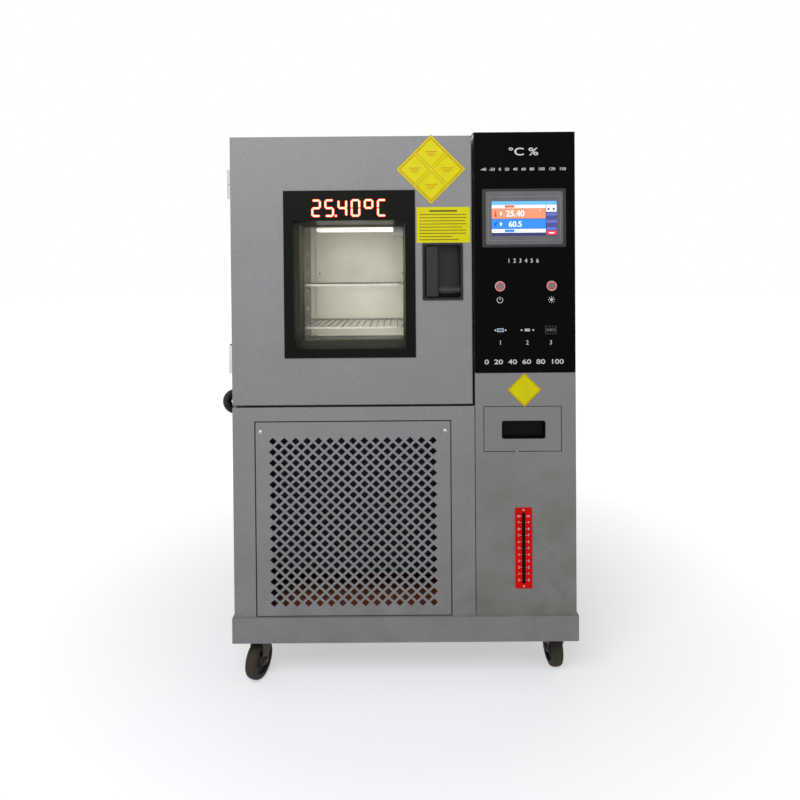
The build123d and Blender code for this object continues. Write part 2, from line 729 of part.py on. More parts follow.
# Air baffle: folded sheet with a raised duct face, and two sensor rods in front of its slot
with BuildPart() as air_baffle:
    ear = CAVITY_W / 2 - FIT
    face = CAVITY_W / 2 - BAFFLE_MARGIN
    step_y = BAFFLE_Y - BAFFLE_STEP
    with BuildSketch(level(CAVITY_Z0 + BAFFLE_FOOT_GAP)):
        with BuildLine():
            Polyline(
                (CAVITY_X - ear, BAFFLE_Y),
                (CAVITY_X - face, BAFFLE_Y),
                (CAVITY_X - face, step_y),
                (CAVITY_X + face, step_y),
                (CAVITY_X + face, BAFFLE_Y),
                (CAVITY_X + ear, BAFFLE_Y),
                (CAVITY_X + ear, BAFFLE_Y + LINER_T),
                (CAVITY_X + face - LINER_T, BAFFLE_Y + LINER_T),
                (CAVITY_X + face - LINER_T, step_y + LINER_T),
                (CAVITY_X - face + LINER_T, step_y + LINER_T),
                (CAVITY_X - face + LINER_T, BAFFLE_Y + LINER_T),
                (CAVITY_X - ear, BAFFLE_Y + LINER_T),
                close=True,
            )
        make_face()
    extrude(amount=CAVITY_H - BAFFLE_FOOT_GAP - BAFFLE_TOP_GAP)
    with BuildSketch(front(BAFFLE_Y - BAFFLE_STEP)):
        with Locations((CAVITY_X, CAVITY_Z1 - SENSOR_DROP)):
            with GridLocations(SENSOR_PITCH, 1, 2, 1):
                RegularPolygon(SENSOR_D / 2, 8)
    extrude(amount=SENSOR_L)
air_baffle.part.label = "air_baffle"
export_step(air_baffle.part, "parts/air_baffle.step")

# Slotted posts on the side walls, with the ledges that the shelves lie on
shelf_zs = (CAVITY_Z0 + SHELF_LOWER, CAVITY_Z0 + SHELF_UPPER)
shelf_front_y = JAMB_Y + PLUG_D + 2 * SHELF_PLAY
shelf_back_y = BAFFLE_Y - BAFFLE_STEP - SHELF_PLAY / 2
post_h = CAVITY_H - 60
with BuildPart() as shelf_uprights:
    for sign in (-1, 1):
        wall_x = CAVITY_X + sign * CAVITY_W / 2
        inner_x = wall_x - sign * POST_W
        with BuildSketch(front(BAFFLE_Y)):
            with Locations(((wall_x + inner_x) / 2, CAVITY_Z)):
                Rectangle(POST_W, post_h)
                with GridLocations(1, post_h / 7, 1, 7):
                    Rectangle(POST_W / 3, POST_W / 2, mode=Mode.SUBTRACT)
        extrude(amount=POST_T)
        with BuildSketch(side(wall_x if sign < 0 else wall_x - POST_T)):
            with Locations((shelf_front_y + POST_W / 2, CAVITY_Z)):
                Rectangle(POST_W, post_h)
                with GridLocations(1, post_h / 7, 1, 7):
                    Rectangle(POST_W / 3, POST_W / 2, mode=Mode.SUBTRACT)
        extrude(amount=POST_T)
        for shelf_z in shelf_zs:
            ledge_z = shelf_z - SHELF_ROD / 2
            ledge_x = sorted((wall_x - sign * POST_T, wall_x - sign * (POST_T + 14)))
            plate(
                level(ledge_z - 6),
                *ledge_x,
                shelf_front_y + 4,
                shelf_front_y + POST_W - 4,
                6,
            )
            plate(
                level(ledge_z - 6),
                *ledge_x,
                shelf_back_y - SHELF_PLAY,
                BAFFLE_Y - POST_T,
                6,
            )
shelf_uprights.part.label = "shelf_uprights"
export_step(shelf_uprights.part, "parts/shelf_uprights.step")

# Two wire shelves: a rod frame with wires from front to back
with BuildPart() as wire_shelves:
    shelf_w = CAVITY_W - 2 * SHELF_PLAY
    shelf_d = shelf_back_y - shelf_front_y
    shelf_y = (shelf_back_y + shelf_front_y) / 2
    for shelf_z in shelf_zs:
        with BuildSketch(level(shelf_z - SHELF_ROD / 2)):
            with Locations((CAVITY_X, shelf_y)):
                Rectangle(shelf_w, shelf_d)
                Rectangle(shelf_w - 2 * SHELF_ROD, shelf_d - 2 * SHELF_ROD, mode=Mode.SUBTRACT)
        extrude(amount=SHELF_ROD)
        with BuildSketch(level(shelf_z + SHELF_ROD / 2 - WIRE)):
            with Locations((CAVITY_X, shelf_y)):
                with GridLocations((shelf_w - SHELF_ROD) / (WIRES + 1), 1, WIRES, 1):
                    Rectangle(WIRE, shelf_d - SHELF_ROD)
        extrude(amount=WIRE)
wire_shelves.part.label = "wire_shelves"
export_step(wire_shelves.part, "parts/wire_shelves.step")

# Evaporator with its fins and the sheathed heater rods above it, in the plenum
COIL_W = 330.0
COIL_H = 150.0
COIL_D = 60.0
FINS = 14
HEATER_D = 8.0
HEATERS = 3
coil_y = (BAFFLE_Y + LINER_BACK_Y) / 2
with BuildPart() as air_coils:
    with BuildSketch(level(CAVITY_Z0)):
        with Locations((CAVITY_X, coil_y)):
            Rectangle(COIL_W, COIL_D * 0.5)
            with GridLocations(COIL_W / FINS, 1, FINS, 1):
                Rectangle(COIL_W / FINS / 4, COIL_D)
    extrude(amount=COIL_H)
    for heater in range(HEATERS):
        with BuildSketch(side(CAVITY_X - COIL_W / 2)):
            with Locations((coil_y, CAVITY_Z0 + COIL_H + 18 + 24 * heater)):
                RegularPolygon(HEATER_D / 2, 6)
        extrude(amount=COIL_W)
    for sign in (-1, 1):
        bracket_x = CAVITY_X + sign * COIL_W / 2
        plate(
            side(bracket_x if sign > 0 else bracket_x - 2),
            coil_y - 10,
            LINER_BACK_Y,
            CAVITY_Z0,
            CAVITY_Z0 + COIL_H + 18 + 24 * HEATERS,
            2,
        )
air_coils.part.label = "air_coils"
export_step(air_coils.part, "parts/air_coils.step")

# Circulation fan on its long shaft
SHAFT_HELD = 25.0
fan_y = BAFFLE_Y + PLENUM_D / 2
shaft_end_y = BULKHEAD_Y + SKIN + SHAFT_HELD
with BuildPart() as circulation_fan:
    disc(front(fan_y + 20), CAVITY_X, AIR_FAN_Z, AIR_SHAFT_D * 3, 40)
    for index in range(6):
        blade(CAVITY_X, fan_y, AIR_FAN_Z, index * 60, AIR_SHAFT_D * 1.4, AIR_FAN_D / 2, 60, 35, 2)
    disc(front(shaft_end_y), CAVITY_X, AIR_FAN_Z, AIR_SHAFT_D, shaft_end_y - fan_y)
circulation_fan.part.label = "circulation_fan"
export_step(circulation_fan.part, "parts/circulation_fan.step")

# Fan motor, flanged to the bulkhead, bored for the shaft
MOTOR_D = 120.0
MOTOR_L = 110.0
with BuildPart() as fan_motor:
    motor_y = BULKHEAD_Y + SKIN
    with BuildSketch(front(motor_y + 5)):
        with Locations((CAVITY_X, AIR_FAN_Z)):
            Rectangle(MOTOR_D + 20, MOTOR_D + 20)
    extrude(amount=5)
    disc(front(motor_y + MOTOR_L), CAVITY_X, AIR_FAN_Z, MOTOR_D, MOTOR_L)
    chamfer(fan_motor.edges().filter_by(GeomType.CIRCLE).group_by(Axis.Y)[-1], length=12)
    bore_l = SHAFT_HELD + 1
    disc(front(motor_y + bore_l), CAVITY_X, AIR_FAN_Z, AIR_SHAFT_D + 2 * SHAFT_PLAY, bore_l, Mode.SUBTRACT)
fan_motor.part.label = "fan_motor"
export_step(fan_motor.part, "parts/fan_motor.step")

# Door skin: deep tray with broken front edges and cut-outs for window, handle and catches
CATCH_D = 8.0
CATCH_OUT = 4.5
CATCH_IN = 12.0
CATCH_BACK = 45.0
CATCH_INSETS = (132.6, 103.0)
catch_y = FRONT_Y + CATCH_BACK
catch_zs = (DOOR_Z0 + CATCH_INSETS[0], TOP_Z - CATCH_INSETS[1])
sight_w, sight_h, sight_x, sight_z = reveal(0)
with BuildPart() as door_shell:
    with BuildSketch(front(PAN_Y)):
        with Locations((DOOR_X, DOOR_Z)):
            Rectangle(DOOR_W, DOOR_H)
    extrude(amount=PAN_Y - FRONT_Y)
    chamfer(door_shell.faces().sort_by(Axis.Y)[0].edges(), length=DOOR_EDGE)
    offset(amount=-SKIN, openings=door_shell.faces().sort_by(Axis.Y)[-1])
    with BuildSketch(front(FRONT_Y + SKIN)):
        with Locations((sight_x, sight_z)):
            Rectangle(sight_w + 2 * REVEAL_T + 2 * FIT, sight_h + 2 * REVEAL_T + 2 * FIT)
        with Locations((CUP_X, CUP_Z)):
            Rectangle(CUP_W - 2 * CUP_RIM + 2 * FIT, CUP_H - 2 * CUP_RIM + 2 * FIT)
    extrude(amount=SKIN, mode=Mode.SUBTRACT)
    for catch_z in catch_zs:
        disc(side(DOOR_RIGHT - SKIN), catch_y, catch_z, CATCH_D + 2 * FIT, SKIN, Mode.SUBTRACT)
door_shell.part.label = "door_shell"
export_step(door_shell.part, "parts/door_shell.step")

# Spring catches in the door's free edge
with BuildPart() as catch_rollers:
    for catch_z in catch_zs:
        disc(side(DOOR_RIGHT - CATCH_IN), catch_y, catch_z, CATCH_D, CATCH_IN + CATCH_OUT)
catch_rollers.part.label = "catch_rollers"
export_step(catch_rollers.part, "parts/catch_rollers.step")

# Inner pan of the door with the raised plug that enters the chamber mouth
throat_w, throat_h, throat_x, throat_z = reveal(REVEAL_D)
plug_w = CAVITY_W - 2 * PLUG_PLAY
plug_h = CAVITY_H - 2 * PLUG_PLAY
with BuildPart() as door_inner_pan:
    plate(front(DOOR_BACK_Y), DOOR_LEFT, DOOR_RIGHT, DOOR_Z0, TOP_Z, SKIN)
    with BuildSketch(front(PAN_Y)) as plug_root:
        with Locations((CAVITY_X, CAVITY_Z)):
            Rectangle(plug_w, plug_h)
    with BuildSketch(front(DOOR_BACK_Y + PLUG_D)) as plug_end:
        with Locations((CAVITY_X, CAVITY_Z)):
            Rectangle(plug_w - 2 * PLUG_TAPER, plug_h - 2 * PLUG_TAPER)
    loft([plug_root.sketch, plug_end.sketch])
    with BuildSketch(front(PAN_Y)) as hollow_root:
        with Locations((CAVITY_X, CAVITY_Z)):
            Rectangle(plug_w - 2 * SKIN, plug_h - 2 * SKIN)
    with BuildSketch(front(DOOR_BACK_Y + PLUG_D - SKIN)) as hollow_end:
        with Locations((CAVITY_X, CAVITY_Z)):
            Rectangle(plug_w - 2 * PLUG_TAPER - 2 * SKIN, plug_h - 2 * PLUG_TAPER - 2 * SKIN)
    loft([hollow_root.sketch, hollow_end.sketch], mode=Mode.SUBTRACT)
    with BuildSketch(front(DOOR_BACK_Y + PLUG_D)):
        with Locations((throat_x, throat_z)):
            Rectangle(throat_w + 2 * REVEAL_T + 2 * FIT, throat_h + 2 * REVEAL_T + 2 * FIT)
    extrude(amount=SKIN, mode=Mode.SUBTRACT)
door_inner_pan.part.label = "door_inner_pan"
export_step(door_inner_pan.part, "parts/door_inner_pan.step")

# Foam in the door
with BuildPart() as door_insulation:
    plate(
        front(PAN_Y),
        DOOR_LEFT + SKIN,
        DOOR_RIGHT - SKIN,
        DOOR_Z0 + SKIN,
        TOP_Z - SKIN,
        PAN_Y - FRONT_Y - SKIN - DOOR_EDGE,
    )
    with BuildSketch(front(PAN_Y)):
        with Locations((sight_x, sight_z)):
            Rectangle(sight_w + 6 * REVEAL_T, sight_h + 6 * REVEAL_T)
        with Locations((CUP_X, CUP_Z)):
            Rectangle(CUP_W, CUP_H)
        for catch_z in catch_zs:
            with Locations((DOOR_RIGHT, catch_z)):
                Rectangle(4 * CATCH_D, 3 * CATCH_D)
    extrude(amount=DOOR_T, mode=Mode.SUBTRACT)
door_insulation.part.label = "door_insulation"
export_step(door_insulation.part, "parts/door_insulation.step")

# Black window frame: front plate and the tapered reveal behind it
with BuildPart() as window_frame:
    with BuildSketch(front(FRONT_Y)):
        with Locations((WINDOW_X, WINDOW_Z)):
            Rectangle(WINDOW_W, WINDOW_H)
    extrude(amount=WINDOW_PROUD)
    chamfer(window_frame.faces().sort_by(Axis.Y)[0].edges(), length=0.8)
    loft([reveal_sketch(0, REVEAL_T), reveal_sketch(REVEAL_D, REVEAL_T)])
    loft([reveal_sketch(-WINDOW_PROUD, 0), reveal_sketch(REVEAL_D, 0)], mode=Mode.SUBTRACT)
window_frame.part.label = "window_frame"
export_step(window_frame.part, "parts/window_frame.step")

# Outer and inner pane, each set in the reveal
with BuildPart() as window_panes:
    for pane_depth in (3.0, REVEAL_D - 12.0):
        pane_w, pane_h, pane_x, pane_z = reveal(pane_depth + PANE_T)
        with BuildSketch(front(FRONT_Y + pane_depth + PANE_T)):
            with Locations((pane_x, pane_z)):
                Rectangle(pane_w - 2 * PANE_PLAY, pane_h - 2 * PANE_PLAY)
        extrude(amount=PANE_T)
window_panes.part.label = "window_panes"
export_step(window_panes.part, "parts/window_panes.step")

# Compact lamp with twin tubes in its socket, at the top of the reveal
lamp_w, lamp_h, lamp_mid_x, lamp_mid_z = reveal(LAMP_DEPTH + 16)
lamp_right = lamp_mid_x + lamp_w / 2 - FIT
lamp_z = lamp_mid_z + lamp_h / 2 - LAMP_DROP
with BuildPart() as window_lamp:
    plate(
        front(FRONT_Y + LAMP_DEPTH + 16),
        lamp_right - LAMP_SOCKET_L,
        lamp_right,
        lamp_z - 20,
        lamp_z + 8,
        32,
    )
    for lamp_y in (-7.5, 7.5):
        disc(
            side(lamp_right - LAMP_SOCKET_L - LAMP_L),
            FRONT_Y + LAMP_DEPTH + lamp_y,
            lamp_z,
            LAMP_TUBE_D,
            LAMP_L,
        )
    plate(
        side(lamp_right - LAMP_SOCKET_L - LAMP_L + 6),
        FRONT_Y + LAMP_DEPTH - 7.5,
        FRONT_Y + LAMP_DEPTH + 7.5,
        lamp_z - 3,
        lamp_z + 3,
        6,
    )
window_lamp.part.label = "window_lamp"
export_step(window_lamp.part, "parts/window_lamp.step")

# Door seal: rounded silicone ring between pan and flange
SEAL_W = 14.0
with BuildPart() as door_seal:
    with BuildSketch(front(JAMB_Y - SEAL_FREE)):
        with Locations((CAVITY_X, CAVITY_Z)):
            RectangleRounded(CAVITY_W + 60, CAVITY_H + 60, 30)
            RectangleRounded(CAVITY_W + 60 - 2 * SEAL_W, CAVITY_H + 60 - 2 * SEAL_W, 30 - SEAL_W, mode=Mode.SUBTRACT)
    extrude(amount=SEAL_T - SEAL_FREE)
door_seal.part.label = "door_seal"
export_step(door_seal.part, "parts/door_seal.step")

# Flush handle cup with the lugs and pin that carry the lever
cup_left = CUP_X - CUP_W / 2
pivot_x = cup_left + CUP_RIM + CUP_WALL + LEVER_BARREL_D / 2 + 2
pivot_y = FRONT_Y + LEVER_BARREL_D / 2 + 1
lever_h = CUP_H - 2 * CUP_RIM - 2 * CUP_WALL - 8
with BuildPart() as handle_cup:
    with BuildSketch(front(FRONT_Y)):
        with Locations((CUP_X, CUP_Z)):
            Rectangle(CUP_W, CUP_H)
    extrude(amount=CUP_PROUD)
    chamfer(handle_cup.faces().sort_by(Axis.Y)[0].edges(), length=0.8)
    with BuildSketch(front(FRONT_Y + CUP_D)):
        with Locations((CUP_X, CUP_Z)):
            Rectangle(CUP_W - 2 * CUP_RIM, CUP_H - 2 * CUP_RIM)
    extrude(amount=CUP_D)
    with BuildSketch(front(FRONT_Y + CUP_D - CUP_WALL)):
        with Locations((CUP_X, CUP_Z)):
            Rectangle(CUP_W - 2 * CUP_RIM - 2 * CUP_WALL, CUP_H - 2 * CUP_RIM - 2 * CUP_WALL)
    extrude(amount=CUP_D - CUP_WALL + CUP_PROUD, mode=Mode.SUBTRACT)
    pin_l = CUP_H - 2 * CUP_RIM
    disc(level(CUP_Z - pin_l / 2), pivot_x, pivot_y, LEVER_PIN_D, pin_l)
handle_cup.part.label = "handle_cup"
export_step(handle_cup.part, "parts/handle_cup.step")

# Lever: barrel on the pin, flat paddle and a curled grip along its free edge
with BuildPart() as handle_lever:
    with BuildSketch(level(CUP_Z - lever_h / 2)):
        with Locations((pivot_x, pivot_y)):
            Circle(LEVER_BARREL_D / 2)
        with BuildLine():
            Polyline(
                (pivot_x, FRONT_Y + 1),
                (pivot_x + LEVER_W, FRONT_Y + 1),
                (pivot_x + LEVER_W, FRONT_Y + 13),
                (pivot_x + LEVER_W - 3, FRONT_Y + 13),
                (pivot_x + LEVER_W - LEVER_T, FRONT_Y + 1 + LEVER_T),
                (pivot_x, FRONT_Y + 1 + LEVER_T),
                close=True,
            )
        make_face()
        with Locations((pivot_x, pivot_y)):
            Circle(LEVER_PIN_D / 2 + PIN_PLAY, mode=Mode.SUBTRACT)
    extrude(amount=lever_h)
handle_lever.part.label = "handle_lever"
export_step(handle_lever.part, "parts/handle_lever.step")


def hinge_arm(z, height, leaf_y0, leaf_y1):
    """Barrel and leaf foot joined by a tapered web, seen from above."""
    with BuildSketch(level(z)) as web:
        with Locations((HINGE_X, HINGE_Y)):
            Circle(HINGE_BARREL_D / 2)
        with Locations((LEFT - HINGE_LEAF_T / 2, (leaf_y0 + leaf_y1) / 2)):
            Rectangle(HINGE_LEAF_T, leaf_y1 - leaf_y0)
        make_hull()
    extrude(web.sketch, amount=height)


# Hinge arms on the cabinet side, with their pins
HINGE_CLEAR = 0.4
half_hinge = HINGE_H / 2 - HINGE_CLEAR / 2
with BuildPart() as cabinet_hinge_arms:
    for hinge_z in HINGE_ZS:
        hinge_arm(hinge_z, half_hinge, JAMB_Y + 6, JAMB_Y + 6 + HINGE_LEAF_L)
        disc(level(hinge_z), HINGE_X, HINGE_Y, HINGE_PIN_D, HINGE_H)
cabinet_hinge_arms.part.label = "cabinet_hinge_arms"
export_step(cabinet_hinge_arms.part, "parts/cabinet_hinge_arms.step")

# Hinge arms on the door
with BuildPart() as door_hinge_arms:
    for hinge_z in HINGE_ZS:
        arm_z = hinge_z + HINGE_H - half_hinge
        hinge_arm(arm_z, half_hinge, DOOR_BACK_Y - 6 - HINGE_LEAF_L, DOOR_BACK_Y - 6)
        disc(level(arm_z), HINGE_X, HINGE_Y, HINGE_PIN_D + 2 * PIN_PLAY, half_hinge, Mode.SUBTRACT)
door_hinge_arms.part.label = "door_hinge_arms"
export_step(door_hinge_arms.part, "parts/door_hinge_arms.step")

# Screen housing: bezel on the panel, box behind it
with BuildPart() as screen_housing:
    with BuildSketch(front(FRONT_Y)):
        with Locations((SCREEN_X, SCREEN_Z)):
            RectangleRounded(SCREEN_W, SCREEN_H, 5)
    extrude(amount=SCREEN_PROUD)
    chamfer(screen_housing.faces().sort_by(Axis.Y)[0].edges(), length=2)
    with BuildSketch(front(FRONT_Y + 36)):
        with Locations((SCREEN_X, SCREEN_Z)):
            Rectangle(SCREEN_W - 14, SCREEN_H - 14)
    extrude(amount=36)
    with BuildSketch(front(FRONT_Y - SCREEN_PROUD + 3)):
        with Locations((SCREEN_X, SCREEN_Z + GLASS_DZ)):
            Rectangle(GLASS_W, GLASS_H)
    extrude(amount=3, mode=Mode.SUBTRACT)
screen_housing.part.label = "screen_housing"
export_step(screen_housing.part, "parts/screen_housing.step")

# Touch screen in the bezel's pocket
with BuildPart() as touch_screen:
    with BuildSketch(front(FRONT_Y - SCREEN_PROUD + 3)):
        with Locations((SCREEN_X, SCREEN_Z + GLASS_DZ)):
            Rectangle(GLASS_W - 0.4, GLASS_H - 0.4)
    extrude(amount=2)
touch_screen.part.label = "touch_screen"
export_step(touch_screen.part, "parts/touch_screen.step")

# Collars of the two push buttons, clamped in the panel
BUTTON_BODY = 28.0
with BuildPart() as button_collars:
    for button_x in BUTTON_X:
        disc(front(FRONT_Y), button_x, BUTTON_Z, COLLAR_D, COLLAR_PROUD)
        disc(front(FRONT_Y + BUTTON_BODY), button_x, BUTTON_Z, BUTTON_D + 3.4, BUTTON_BODY)
        with BuildSketch(front(FRONT_Y + SKIN + 5)) as nut:
            with Locations((button_x, BUTTON_Z)):
                RegularPolygon(COLLAR_D / 2 + 2, 6)
        extrude(nut.sketch, amount=5)
        disc(
            front(FRONT_Y + BUTTON_BODY - 3),
            button_x,
            BUTTON_Z,
            BUTTON_D + 2 * BUTTON_PLAY,
            BUTTON_BODY + COLLAR_PROUD,
            Mode.SUBTRACT,
        )
button_collars.part.label = "button_collars"
export_step(button_collars.part, "parts/button_collars.step")


def push_button(x):
    """Domed cap with a shorter stem, so that it can travel in its collar."""
    cap_front = FRONT_Y - BUTTON_PROUD
    cap_back = FRONT_Y + BUTTON_BODY - 3 - 2 * BUTTON_TRAVEL
    disc(front(cap_back), x, BUTTON_Z, BUTTON_D, cap_back - cap_front)


# Power button
with BuildPart() as power_button:
    push_button(BUTTON_X[0])
    chamfer(power_button.edges().filter_by(GeomType.CIRCLE).group_by(Axis.Y)[0], length=1)
power_button.part.label = "power_button"
export_step(power_button.part, "parts/power_button.step")

# Light button
with BuildPart() as light_button:
    push_button(BUTTON_X[1])
    chamfer(light_button.edges().filter_by(GeomType.CIRCLE).group_by(Axis.Y)[0], length=1)
light_button.part.label = "light_button"
export_step(light_button.part, "parts/light_button.step")

# Serial and USB sockets behind the panel, each with two hexagonal posts
with BuildPart() as data_ports:
    for socket_x, post_dx in ((SERIAL_X, SERIAL_POST), (USB_X, USB_POST)):
        plate(
            front(FRONT_Y + SKIN + SOCKET_FLANGE_T),
            socket_x - post_dx - SOCKET_FLANGE_H / 3,
            socket_x + post_dx + SOCKET_FLANGE_H / 3,
            SOCKET_Z - SOCKET_FLANGE_H / 2,
            SOCKET_Z + SOCKET_FLANGE_H / 2,
            SOCKET_FLANGE_T,
        )
        with BuildSketch(front(FRONT_Y)):
            with Locations((socket_x, SOCKET_Z)):
                with GridLocations(2 * post_dx, 1, 2, 1):
                    RegularPolygon(SOCKET_POST_D / 2, 6)
        extrude(amount=SOCKET_PROUD + 1)
    with BuildSketch(front(FRONT_Y + SOCKET_DEPTH)):
        with Locations((SERIAL_X, SOCKET_Z)):
            Trapezoid(SERIAL_W, SERIAL_H, 80)
        with Locations((USB_X, SOCKET_Z)):
            Rectangle(USB_W, USB_H)
    extrude(amount=SOCKET_DEPTH + SOCKET_PROUD)
    with BuildSketch(front(FRONT_Y + USB_POCKET)):
        with Locations((USB_X, SOCKET_Z)):
            Rectangle(USB_W - 2, USB_H - 2)
            Rectangle(USB_W - 4, USB_TONGUE, mode=Mode.SUBTRACT)
    extrude(amount=USB_POCKET + SOCKET_PROUD, mode=Mode.SUBTRACT)
data_ports.part.label = "data_ports"
export_step(data_ports.part, "parts/data_ports.step")

# Over-temperature selector: housing with three windows and the axle of its digit wheels
digit_y = FRONT_Y + DIGIT_D / 2 - 0.6
digit_xs = [SELECTOR_X + DIGIT_PITCH * step for step in (-1, 0, 1)]
with BuildPart() as selector_housing:
    with BuildSketch(front(FRONT_Y)):
        with Locations((SELECTOR_X, SOCKET_Z)):
            Rectangle(SELECTOR_W, SELECTOR_H)
    extrude(amount=SELECTOR_PROUD)
    with BuildSketch(front(FRONT_Y + SELECTOR_DEPTH)):
        with Locations((SELECTOR_X, SOCKET_Z)):
            Rectangle(SELECTOR_W - 2 * SELECTOR_RIM, SELECTOR_H - 2 * SELECTOR_RIM)
    extrude(amount=SELECTOR_DEPTH)
    with BuildSketch(front(digit_y + DIGIT_D / 2 + FIT)):
        with Locations((SELECTOR_X, SOCKET_Z)):
            with GridLocations(DIGIT_PITCH, 1, len(digit_xs), 1):
                Rectangle(DIGIT_W + 2 * FIT, DIGIT_D + 2 * FIT)
    extrude(amount=SELECTOR_DEPTH, mode=Mode.SUBTRACT)
    axle_l = (len(digit_xs) - 1) * DIGIT_PITCH + DIGIT_W + 4 * FIT
    disc(side(SELECTOR_X - axle_l / 2), digit_y, SOCKET_Z, DIGIT_AXLE_D, axle_l)
selector_housing.part.label = "selector_housing"
export_step(selector_housing.part, "parts/selector_housing.step")


def digit_wheel(x):
    """Ten-sided number wheel with a bore for the selector's axle."""
    with BuildSketch(side(x - DIGIT_W / 2)) as rim:
        with Locations((digit_y, SOCKET_Z)):
            RegularPolygon(DIGIT_D / 2, 10)
            Circle(DIGIT_AXLE_D / 2 + PIN_PLAY, mode=Mode.SUBTRACT)
    extrude(rim.sketch, amount=DIGIT_W)


# Hundreds wheel
with BuildPart() as hundreds_wheel:
    digit_wheel(digit_xs[0])
hundreds_wheel.part.label = "hundreds_wheel"
export_step(hundreds_wheel.part, "parts/hundreds_wheel.step")

# Tens wheel
with BuildPart() as tens_wheel:
    digit_wheel(digit_xs[1])
tens_wheel.part.label = "tens_wheel"
export_step(tens_wheel.part, "parts/tens_wheel.step")

# Units wheel
with BuildPart() as units_wheel:
    digit_wheel(digit_xs[2])
units_wheel.part.label = "units_wheel"
export_step(units_wheel.part, "parts/units_wheel.step")

# Water drawer: hollow front with a finger recess, open tray behind it
pull_x = DRAWER_X + PULL_DX
pull_z = DRAWER_Z + PULL_DZ
tray_w = DRAWER_W - 30
tray_z0 = DRAWER_Z - DRAWER_H / 2 + 14
tray_z1 = DRAWER_Z + DRAWER_H / 2 - 14
tray_y0 = FRONT_Y + DRAWER_FRONT_T
tray_y1 = FRONT_Y + DRAWER_D
with BuildPart() as water_drawer:
    with BuildSketch(front(FRONT_Y + DRAWER_FRONT_T)):
        with Locations((DRAWER_X, DRAWER_Z)):
            Rectangle(DRAWER_W, DRAWER_H)
    extrude(amount=DRAWER_FRONT_T)
    with BuildSketch(front(FRONT_Y + PULL_D)):
        with Locations((pull_x, pull_z)):
            RectangleRounded(PULL_W, PULL_H, 5)
    extrude(amount=PULL_D, mode=Mode.SUBTRACT)
    plate(
        front(tray_y1),
        DRAWER_X - tray_w / 2,
        DRAWER_X + tray_w / 2,
        tray_z0,
        tray_z1,
        tray_y1 - tray_y0,
    )
    plate(
        front(tray_y1 - RUNNER_T),
        DRAWER_X - tray_w / 2 + RUNNER_T,
        DRAWER_X + tray_w / 2 - RUNNER_T,
        tray_z0 + RUNNER_T,
        tray_z1,
        tray_y1 - tray_y0 - RUNNER_T,
        Mode.SUBTRACT,
    )
water_drawer.part.label = "water_drawer"
export_step(water_drawer.part, "parts/water_drawer.step")

# Drawer runners: two angles on brackets behind the column's front skin and a cross strip at their back
with BuildPart() as drawer_runners:
    for sign in (-1, 1):
        wall = DRAWER_X + sign * (tray_w / 2 + FIT)
        outer = wall + sign * RUNNER_T
        inner = wall - sign * RUNNER_LEDGE
        run_y0 = tray_y0 + DRAWER_GAP
        run_y1 = FRONT_Y + DRAWER_D
        plate(front(run_y1), *sorted((wall, outer)), tray_z0 - FIT - RUNNER_T, tray_z1, run_y1 - run_y0)
        plate(
            front(run_y1),
            *sorted((inner, outer)),
            tray_z0 - FIT - RUNNER_T,
            tray_z0 - FIT,
            run_y1 - run_y0,
        )
        foot = DRAWER_X + sign * (DRAWER_W / 2 + DRAWER_GAP)
        foot_outer = foot + sign * RUNNER_T
        plate(front(run_y0 + RUNNER_T), *sorted((wall, foot_outer)), tray_z0, tray_z1, RUNNER_T)
        foot_l = run_y0 + RUNNER_T - FRONT_Y - SKIN
        plate(front(run_y0 + RUNNER_T), *sorted((foot, foot_outer)), tray_z0, tray_z1, foot_l)
    plate(
        front(run_y1 + RUNNER_T),
        DRAWER_X - tray_w / 2 - FIT - RUNNER_T,
        DRAWER_X + tray_w / 2 + FIT + RUNNER_T,
        tray_z0 - FIT - RUNNER_T,
        tray_z0 + 30,
        RUNNER_T,
    )
drawer_runners.part.label = "drawer_runners"
export_step(drawer_runners.part, "parts/drawer_runners.step")

# Level gauge plate with its long slot
with BuildPart() as gauge_plate:
    with BuildSketch(front(FRONT_Y)):
        with Locations((GAUGE_X, GAUGE_Z)):
            Rectangle(GAUGE_W, GAUGE_H)
            SlotOverall(GAUGE_SLOT_H, GAUGE_SLOT_W, rotation=90, mode=Mode.SUBTRACT)
    extrude(amount=GAUGE_T)
gauge_plate.part.label = "gauge_plate"
export_step(gauge_plate.part, "parts/gauge_plate.step")

# Water tank on the floor tray, with its sight tube behind the gauge slot
tube_y = FRONT_Y + SKIN + FIT + SIGHT_TUBE_D / 2
tank_y0 = tube_y + 2 * SIGHT_TUBE_D
with BuildPart() as water_tank:
    with BuildSketch(level(DECK_Z)):
        with Locations((GAUGE_X, tank_y0 + TANK_D / 2)):
            Rectangle(TANK_W, TANK_D)
    extrude(amount=TANK_H)
    offset(amount=-3, openings=water_tank.faces().sort_by(Axis.Z)[-1])
    disc(level(GAUGE_Z - GAUGE_SLOT_H / 2), GAUGE_X, tube_y, SIGHT_TUBE_D, GAUGE_SLOT_H)
    for sign in (-1, 1):
        stub_z = GAUGE_Z + sign * (GAUGE_SLOT_H / 2 - SIGHT_TUBE_D)
        disc(front(tank_y0), GAUGE_X, stub_z, SIGHT_TUBE_D * 0.7, tank_y0 - tube_y)
water_tank.part.label = "water_tank"
export_step(water_tank.part, "parts/water_tank.step")

